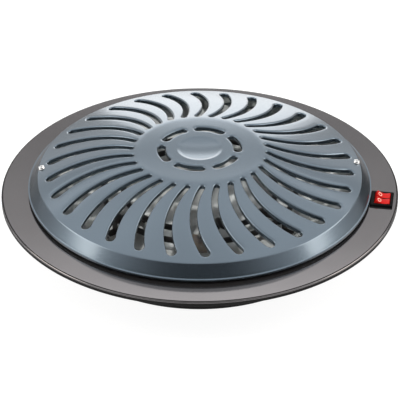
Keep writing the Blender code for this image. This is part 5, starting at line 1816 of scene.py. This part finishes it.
@dataclass
class Feet:
    """Four rubber feet pushed through the bowl's floor.

    Attributes:
        angles: Angles of the feet.
        circle: Distance of the feet from the middle.
        top: Height of a foot's top, against the floor.
        radius: Radius of a foot.
        bevel: Width and height of the bevel round its top.
        soft: Rounding of its sole's edge.
        hollow: Radii of the sole's hollow at its mouth and at its bottom.
        hollow_depth: Depth of that hollow.
        stem: The barbed stem's section, as radius and height.
    """

    angles: ClassVar[tuple[float, ...]] = tuple(math.radians(45 + 90 * k) for k in range(4))
    circle: float = 0.1345
    top: float = -0.0553
    radius: float = 0.01
    bevel: Flat = (0.0005, 0.0004)
    soft: float = 0.001
    hollow: Flat = (0.0062, 0.0058)
    hollow_depth: float = 0.0005
    stem: tuple[Flat, ...] = (
        (0.0, -0.0517), (0.0022, -0.0517), (0.003, -0.0521), (0.0044, -0.0538), (0.0043, -0.0539),
        (0.003, -0.0539),
    )

    def build(self) -> None:
        """Builds the feet, each with a rounded sole and a barbed stem."""
        sole = -RIM_HEIGHT
        wide, high = self.bevel
        mouth, bottom = self.hollow
        outline = [*self.stem, (self.stem[-1][0], self.top), (self.radius - wide, self.top)]
        outline += [(self.radius, self.top - high)]
        outline += arc((self.radius - self.soft, sole + self.soft), self.soft, 0.0, -90.0, 4)
        roof = sole + self.hollow_depth
        outline += [(mouth, sole), (bottom, roof), (0.0, roof)]
        for number, angle in enumerate(self.angles, 1):
            draft = Draft(spot(self.circle, angle))
            draft.turned(outline, 48, closed=False)
            fitted(f"rubber_foot_{number}", draft, Finish.RUBBER, [f"foot_{number}"])


@dataclass
class CordGland:
    """The cord gland in the bowl's back wall, and its nut inside.

    Attributes:
        height: Height of its axis.
        wall: Distance of the wall from the middle.
        bore: Radius of its bore.
        stem: Section of its stem and its collar, as radius and height.
        ribs: Number of ribs on its nose.
        rib: Radius and height of the first rib.
        rib_pitch: Distance from rib to rib.
        rib_taper: How much smaller each rib is than the one before it.
        rib_rows: One rib's section, from its own radius and height.
        mouth: Section of the nose's end, as radius and height.
        mouth_bevel: Height of the bevel from there into the bore.
        nut: Radius of the nut's corners.
        nut_bore: Radius of the nut's bore.
        nut_levels: Share of the nut's size, and height, at its bevels.
        nut_faces: Faces along each side of the nut.
    """

    height: float = -0.0308
    wall: float = BodyBowl.radius
    bore: float = 0.0041
    stem: tuple[Flat, ...] = (
        (0.0056, -0.009), (0.006, -0.0086), (0.006, 0.0003), (0.0097, 0.0003),
        (0.01, 0.0006), (0.01, 0.0029), (0.0096, 0.0033), (0.0075, 0.0033),
    )
    ribs: int = 5
    rib: Flat = (0.0074, 0.0036)
    rib_pitch: float = 0.0015
    rib_taper: float = 0.0002
    rib_rows: tuple[Flat, ...] = ((0.0, 0.0), (0.0, 0.0008), (-0.0006, 0.001), (-0.0006, 0.0014))
    mouth: tuple[Flat, ...] = ((0.0064, 0.0111), (0.0061, 0.0113), (0.0045, 0.0113))
    mouth_bevel: float = 0.0004
    nut: float = 0.0092
    nut_bore: float = 0.0063
    nut_levels: tuple[Flat, ...] = (
        (0.94, -0.0049), (1.0, -0.0045), (1.0, -0.0018), (0.94, -0.0014),
    )
    nut_faces: int = 4

    @classmethod
    def axis(cls) -> Matrix:
        """The frame of the gland, its Z axis pointing out of the wall."""
        place = Matrix.Translation((0.0, cls.wall, cls.height))
        return RIM_PLANE @ place @ Matrix.Rotation(-QUARTER, 4, "X")

    def sleeve(self) -> list[Flat]:
        """The gland's section, as radius and height.

        Returns:
            Its points: stem inside the wall, collar, ribbed nose and bore.
        """
        points = [(self.bore, self.stem[0][1]), *self.stem]
        for i in range(self.ribs):
            radius = self.rib[0] - self.rib_taper * i
            z = self.rib[1] + self.rib_pitch * i
            points += [(radius + x, z + y) for x, y in self.rib_rows]
        return [*points, *self.mouth, (self.bore, self.mouth[-1][1] - self.mouth_bevel)]

    def hexagon(self) -> list[Flat]:
        """The nut's six sides, each divided evenly.

        Returns:
            Their points.
        """
        corners = [polar(self.nut, a, 0.0) for a in around(6)]
        points: list[Flat] = []
        for (x, y, _), (u, v, _) in zip(corners, corners[1:] + corners[:1]):
            shares = [j / self.nut_faces for j in range(self.nut_faces)]
            points += [(lerp(x, u, share), lerp(y, v, share)) for share in shares]
        return points

    def build(self) -> None:
        """Builds the gland with its ribbed nose, and the nut."""
        draft = Draft(self.axis())
        draft.turned(self.sleeve(), 48)
        fitted("gland_sleeve", draft, Finish.BLACK_PLASTIC, ["cord_gland"])
        draft = Draft(self.axis())
        sides = self.hexagon()
        rows = [draft.row((x * s, y * s, z) for x, y in sides) for s, z in self.nut_levels]
        for z in (self.nut_levels[-1][1], self.nut_levels[0][1]):
            rows.append(draft.row(polar(self.nut_bore, a, z) for a in around(len(sides))))
        draft.strips([*rows, rows[0]])
        fitted("gland_ring_nut", draft, Finish.BLACK_PLASTIC, ["gland_nut"])


@dataclass
class SmallScrews:
    """The small screws of the element brackets, the cut-out plate and the switch cover.

    Attributes:
        upright: CAD nodes of those whose heads look up.
        hanging: CAD nodes of those whose heads look down.
    """

    upright: tuple[str, ...] = (
        "element_bracket_screw_1",
        "element_bracket_screw_2",
        "element_bracket_screw_3",
        "cutout_screw",
    )
    hanging: tuple[str, ...] = ("cover_screw_1", "cover_screw_2")

    def build(self) -> None:
        """Builds each screw where its CAD node stands."""
        screw = CrossHeadScrew(head=0.0029, height=0.0018, shank=0.00145, length=0.006)
        for name in self.upright + self.hanging:
            low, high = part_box(name)
            middle = (low + high) / 2
            if name in self.hanging:
                seat = Matrix.Translation((middle.x, middle.y, low.z + screw.height))
                seat = seat @ Matrix.Rotation(math.pi, 4, "X")
            else:
                seat = Matrix.Translation((middle.x, middle.y, high.z - screw.height))
            screw.build(name.replace("screw", "pan_head"), seat, Finish.ZINC, name)


@dataclass
class CarriedParts:
    """CAD pieces whose shape stays, with finishes of their own.

    Attributes:
        finishes: Finish of each node, by the start of its name.
        edges: Width of the rounding of some nodes' edges.
        edge_faces: Faces across that rounding.
        edge_crease: Angle in degrees over which an edge is rounded.
    """

    finishes: ClassVar[dict[str, Finish]] = {
        "guard_bracket": Finish.ZINC,
        "element_bracket": Finish.BURNT_STEEL,
        "element_pin": Finish.ZINC,
        "element_bush": Finish.CERAMIC,
        "cutout_plate": Finish.HEAT_TINT,
        "thermal_cutout": Finish.BAKELITE,
        "switch_tab": Finish.BRASS,
        "switch_cover": Finish.BLACK_PLASTIC,
        "wire_grommet": Finish.RUBBER,
        "terminal_block": Finish.CERAMIC,
        "earth_stud": Finish.BRASS,
        "wire_neutral": Finish.BLUE_WIRE,
        "wire_earth": Finish.GREEN_WIRE,
        "wire_supply": Finish.BROWN_WIRE,
        "wire_live": Finish.BROWN_WIRE,
    }
    edges: ClassVar[dict[str, float]] = {
        "switch_cover": 0.0006,
        "terminal_block": 0.0005,
        "cutout_plate": 0.0002,
    }
    edge_faces: int = 3
    edge_crease: float = 40.0

    def build(self, nodes: dict[str, bpy.types.Object]) -> None:
        """Dresses every CAD node that no piece stands for.

        Args:
            nodes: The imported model's nodes by name.
        """
        for name, node in nodes.items():
            if node.hide_render:
                continue
            finish = next(value for key, value in self.finishes.items() if name.startswith(key))
            SHOP.dress(node, finish)
            if name in self.edges:
                step = node.modifiers.new("edge", "BEVEL")
                step.width = self.edges[name]
                step.segments = self.edge_faces
                step.limit_method = "ANGLE"
                step.angle_limit = math.radians(self.edge_crease)
            LOG.info("%s: kept, %s", name, finish.value.name)


@dataclass
class Softbox:
    """One soft lamp of the studio.

    Attributes:
        name: Name of the lamp.
        place: Where it stands.
        size: Its width and height.
        power: Its power in watts.
        tint: Its colour.
        mirrored: Whether glossy surfaces show it.
    """

    name: str
    place: Point
    size: Flat
    power: float
    tint: Point = (1.0, 1.0, 1.0)
    mirrored: bool = True

    def build(self) -> None:
        """Hangs the lamp and aims it at the heater."""
        lamp = bpy.data.lights.new(self.name, "AREA")
        lamp.shape = "RECTANGLE"
        lamp.size, lamp.size_y = self.size
        lamp.energy = self.power
        lamp.color = self.tint
        thing = linked(self.name, lamp)
        thing.location = self.place
        thing.rotation_euler = (-Vector(self.place)).to_track_quat("-Z", "Y").to_euler()
        thing.visible_glossy = self.mirrored


@dataclass
class Studio:
    """White floor, soft lamps and a graded sky, with the camera at the photograph's angle.

    Attributes:
        elevation: Angle of the camera over the rim plane, in degrees.
        roll: Turn of the camera about its own axis, in degrees.
        distance: Distance of the camera from the rim plane's middle.
        focal: Focal length in picture widths.
        aim: How far the rim plane's middle lies from the picture's, in picture widths.
        sensor: Width of the camera's sensor, in millimetres.
        floor_radius: Radius of the floor's inner part.
        floor_rings: Radii of the floor's rings, as multiples of that.
        floor_drop: How far the floor lies under the feet.
        floor_grey: Grey of the floor where it is seen, under its glow.
        floor_glow: Strength of that glow.
        floor_bounce: Grey of the floor that lights the heater from below.
        depth_levels: Levels of the room from front to back.
        height_levels: Levels of the room by angle over the horizon, in degrees.
        reach_levels: How far the front is darkened, from bottom to top.
        strength: Strength of the room's light at level one.
        flag_radius: Distance of the two cards from the middle.
        flag_turn: Angles from the back between which each card reaches, in degrees.
        flag_tops: Height of a card along its length.
        flag_greys: Grey of the left and of the right card, by side.
        lamps: The lamps.
    """

    elevation: float = 32.5422
    roll: float = 0.152
    distance: float = 8.0228 * 0.22
    focal: float = 1584.73 / 400
    aim: Flat = (-0.19 / 400, -16.27 / 400)
    sensor: float = 36.0
    floor_radius: float = 0.4
    floor_rings: tuple[int, ...] = (1, 4, 16, 64)
    floor_drop: float = 0.0002
    floor_grey: float = 0.2
    floor_glow: float = 0.93
    floor_bounce: float = 0.8
    depth_levels: tuple[Flat, ...] = (
        (0.0, 0.03), (0.13, 0.03), (0.2, 0.25), (0.31, 0.9), (0.5, 1.0),
    )
    height_levels: tuple[Flat, ...] = (
        (0, 0.4), (10, 0.6), (16, 0.78), (22, 1.1), (27, 1.12), (28.6, 0.6), (30.3, 0.45),
        (32.2, 0.68), (35, 0.92), (36.3, 1.8), (37.2, 2.4), (38.5, 1.6), (41, 0.95), (48, 1.2),
        (60, 1.25), (90, 0.8),
    )
    reach_levels: tuple[Flat, ...] = ((0.63, 0.0), (0.73, 1.0))
    strength: float = 2.4
    flag_radius: float = 0.34
    flag_turn: Flat = (20.0, 92.0)
    flag_tops: tuple[float, ...] = (
        0.062, 0.064, 0.067, 0.07, 0.073, 0.076, 0.08, 0.085, 0.09, 0.095,
        0.097, 0.096, 0.093, 0.088, 0.082, 0.075, 0.069, 0.063, 0.058,
    )
    flag_greys: ClassVar[dict[int, float]] = {-1: 0.22, 1: 0.06}
    lamps: list[Softbox] = field(
        default_factory=lambda: [
            Softbox("lamp_top", (0.0, -0.7, 1.9), (0.12, 0.12), 36.0, mirrored=False),
            Softbox("lamp_back", (0.06, 2.45, 0.57), (1.16, 1.12), 6.2),
            Softbox("lamp_left", (-1.75, -0.1, 1.1), (1.2, 0.76), 8.4, (1.0, 0.91, 0.82)),
            Softbox("lamp_right", (1.75, 0.12, 1.08), (1.5, 0.78), 11.1, (1.0, 0.91, 0.82)),
        ]
    )

    def camera(self) -> None:
        """Stands the camera where the photograph was taken from."""
        tilt = math.radians(self.elevation)
        back = Vector((0.0, -math.cos(tilt), math.sin(tilt)))
        right = Vector((1.0, 0.0, 0.0))
        up = back.cross(right)
        yaw = math.atan2(-self.aim[0], self.focal)
        pitch = math.atan2(-self.aim[1], self.focal)
        ahead = (-back + right * math.tan(yaw) - up * math.tan(pitch)).normalized()
        side = ahead.cross(up).normalized()
        rise = side.cross(ahead)
        turn = math.radians(self.roll)
        x_axis = side * math.cos(turn) - rise * math.sin(turn)
        y_axis = side * math.sin(turn) + rise * math.cos(turn)
        lens = bpy.data.cameras.new("camera")
        lens.sensor_width = self.sensor
        lens.lens = self.focal * self.sensor
        lens.clip_start, lens.clip_end = 0.05, 100.0
        thing = linked("camera", lens)
        frame = Matrix((x_axis, y_axis, -ahead)).transposed().to_4x4()
        thing.matrix_world = Matrix.Translation(RIM_PLANE @ (back * self.distance)) @ frame
        bpy.context.scene.camera = thing

    def seen(self, desk: NodeDesk) -> Socket:
        """A value that is one for rays that show the background: camera, glossy or transmission.

        Args:
            desk: The nodes that it joins.

        Returns:
            The value's socket.
        """
        path = desk.node("ShaderNodeLightPath").outputs
        total = path["Is Camera Ray"]
        for name in ("Is Glossy Ray", "Is Transmission Ray"):
            both = desk.node("ShaderNodeMath", {0: total, 1: path[name]}, operation="MAXIMUM")
            total = both.outputs["Value"]
        return total

    def floor_paint(self) -> bpy.types.Material:
        """Makes the floor's paint: nearly white where it is seen, pale where it lights the heater.

        Returns:
            The material.
        """
        desk = NodeDesk(bpy.data.materials.new("floor"), bare=True)
        shown, lit = (
            desk.node("ShaderNodeBsdfDiffuse", {"Color": (grey, grey, grey, 1.0)}).outputs["BSDF"]
            for grey in (self.floor_grey, self.floor_bounce)
        )
        glow = desk.node("ShaderNodeEmission", {"Strength": self.floor_glow}).outputs["Emission"]
        both = desk.node("ShaderNodeAddShader", {0: shown, 1: glow}).outputs["Shader"]
        choice = desk.node("ShaderNodeMixShader", {"Fac": self.seen(desk), 1: lit, 2: both})
        desk.node("ShaderNodeOutputMaterial", {"Surface": choice.outputs["Shader"]})
        return desk.owner

    def floor(self) -> None:
        """Lays the white floor, which keeps the heater's shadow."""
        draft = Draft(Matrix.Identity(4))
        edge = [(x * self.floor_radius, y * self.floor_radius) for x, y in disc(1.0, 48)]
        low = -self.floor_drop
        rows = [draft.row((x * s, y * s, low) for x, y in edge) for s in self.floor_rings]
        draft.cap(rows[0])
        draft.strips(rows)
        sheet = linked("floor", draft.mesh("floor"))
        sheet.data.materials.append(self.floor_paint())
        sheet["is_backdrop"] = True

    def grade(self, desk: NodeDesk, value: Socket, levels: Sequence[Flat]) -> Socket:
        """Reads a grey level, at pairs of place and level, from a coordinate of the direction."""
        place = desk.node("ShaderNodeMapRange", {"From Min": -1.0, "Value": value})
        return desk.ramp(place.outputs["Result"], [(at, (level,) * 3) for at, level in levels])

    def sky(self) -> None:
        """Sets the studio's room: pale behind the heater and dark in front of it."""
        desk = NodeDesk(bpy.data.worlds.new("studio"), bare=True)
        bpy.context.scene.world = desk.owner
        way = desk.node("ShaderNodeTexCoord").outputs["Generated"]
        parts = desk.node("ShaderNodeSeparateXYZ", {"Vector": way}).outputs
        heights = [
            (0.5 + math.sin(math.radians(rise)) / 2, level / self.strength)
            for rise, level in self.height_levels
        ]
        graded = {
            "Factor": self.grade(desk, parts["Z"], self.reach_levels),
            "A": self.grade(desk, parts["Z"], heights),
            "B": self.grade(desk, parts["Y"], self.depth_levels),
        }
        both = desk.node("ShaderNodeMix", graded, data_type="RGBA", blend_type="MULTIPLY")
        light = {"Color": both.outputs["Result"], "Strength": self.strength}
        ground = desk.node("ShaderNodeBackground", light)
        desk.node("ShaderNodeOutputWorld", {"Surface": ground.outputs["Background"]})

    def flag(self, side: int) -> None:
        """Stands a low dark card behind one side of the heater, for its bevel to mirror.

        Args:
            side: -1 for the left and 1 for the right.
        """
        draft = Draft(Matrix.Identity(4))
        tops = self.flag_tops
        shares = [j / (len(tops) - 1) for j in range(len(tops))]
        turns = [math.radians(90 - side * lerp(*self.flag_turn, share)) for share in shares]
        rows = []
        for share in (0.0, 0.5, 1.0):
            points = [polar(self.flag_radius, a, share * top) for a, top in zip(turns, tops)]
            rows.append(draft.row(points))
        draft.strips(rows, closed=False)
        card = linked("flag", draft.mesh("flag"))
        desk = PaintDesk("flag")
        grey = self.flag_greys[side]
        desk.set(base_color=(grey, grey, grey, 1.0), roughness=1.0, specular_ior_level=0.0)
        card.data.materials.append(desk.owner)
        card.visible_camera = False
        card.visible_shadow = False
        card.visible_diffuse = False
        card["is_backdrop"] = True

    def build(self) -> None:
        """Builds the studio and sets the view."""
        self.camera()
        self.floor()
        self.sky()
        for side in self.flag_greys:
            self.flag(side)
        for lamp in self.lamps:
            lamp.build()
        bpy.context.scene.view_settings.view_transform = "Standard"


def corners() -> list[list[float]]:
    """The shown object's box, as plain lists of numbers."""
    return [[float(value) for value in corner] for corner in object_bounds()]


def main() -> None:
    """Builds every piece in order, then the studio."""
    logging.basicConfig(level=logging.INFO, format="%(name)s: %(message)s")
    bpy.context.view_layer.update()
    guard = GuardGrille()
    guard.build()
    GuardFixings().build(guard)
    RimRing().build()
    BodyBowl().build()
    ReflectorDish().build()
    RingElements().build()
    TwinSwitch().build()
    Feet().build()
    CordGland().build()
    SmallScrews().build()
    CarriedParts().build(FRAME["nodes"])
    Studio().build()


if __name__ == "__main__":
    main()
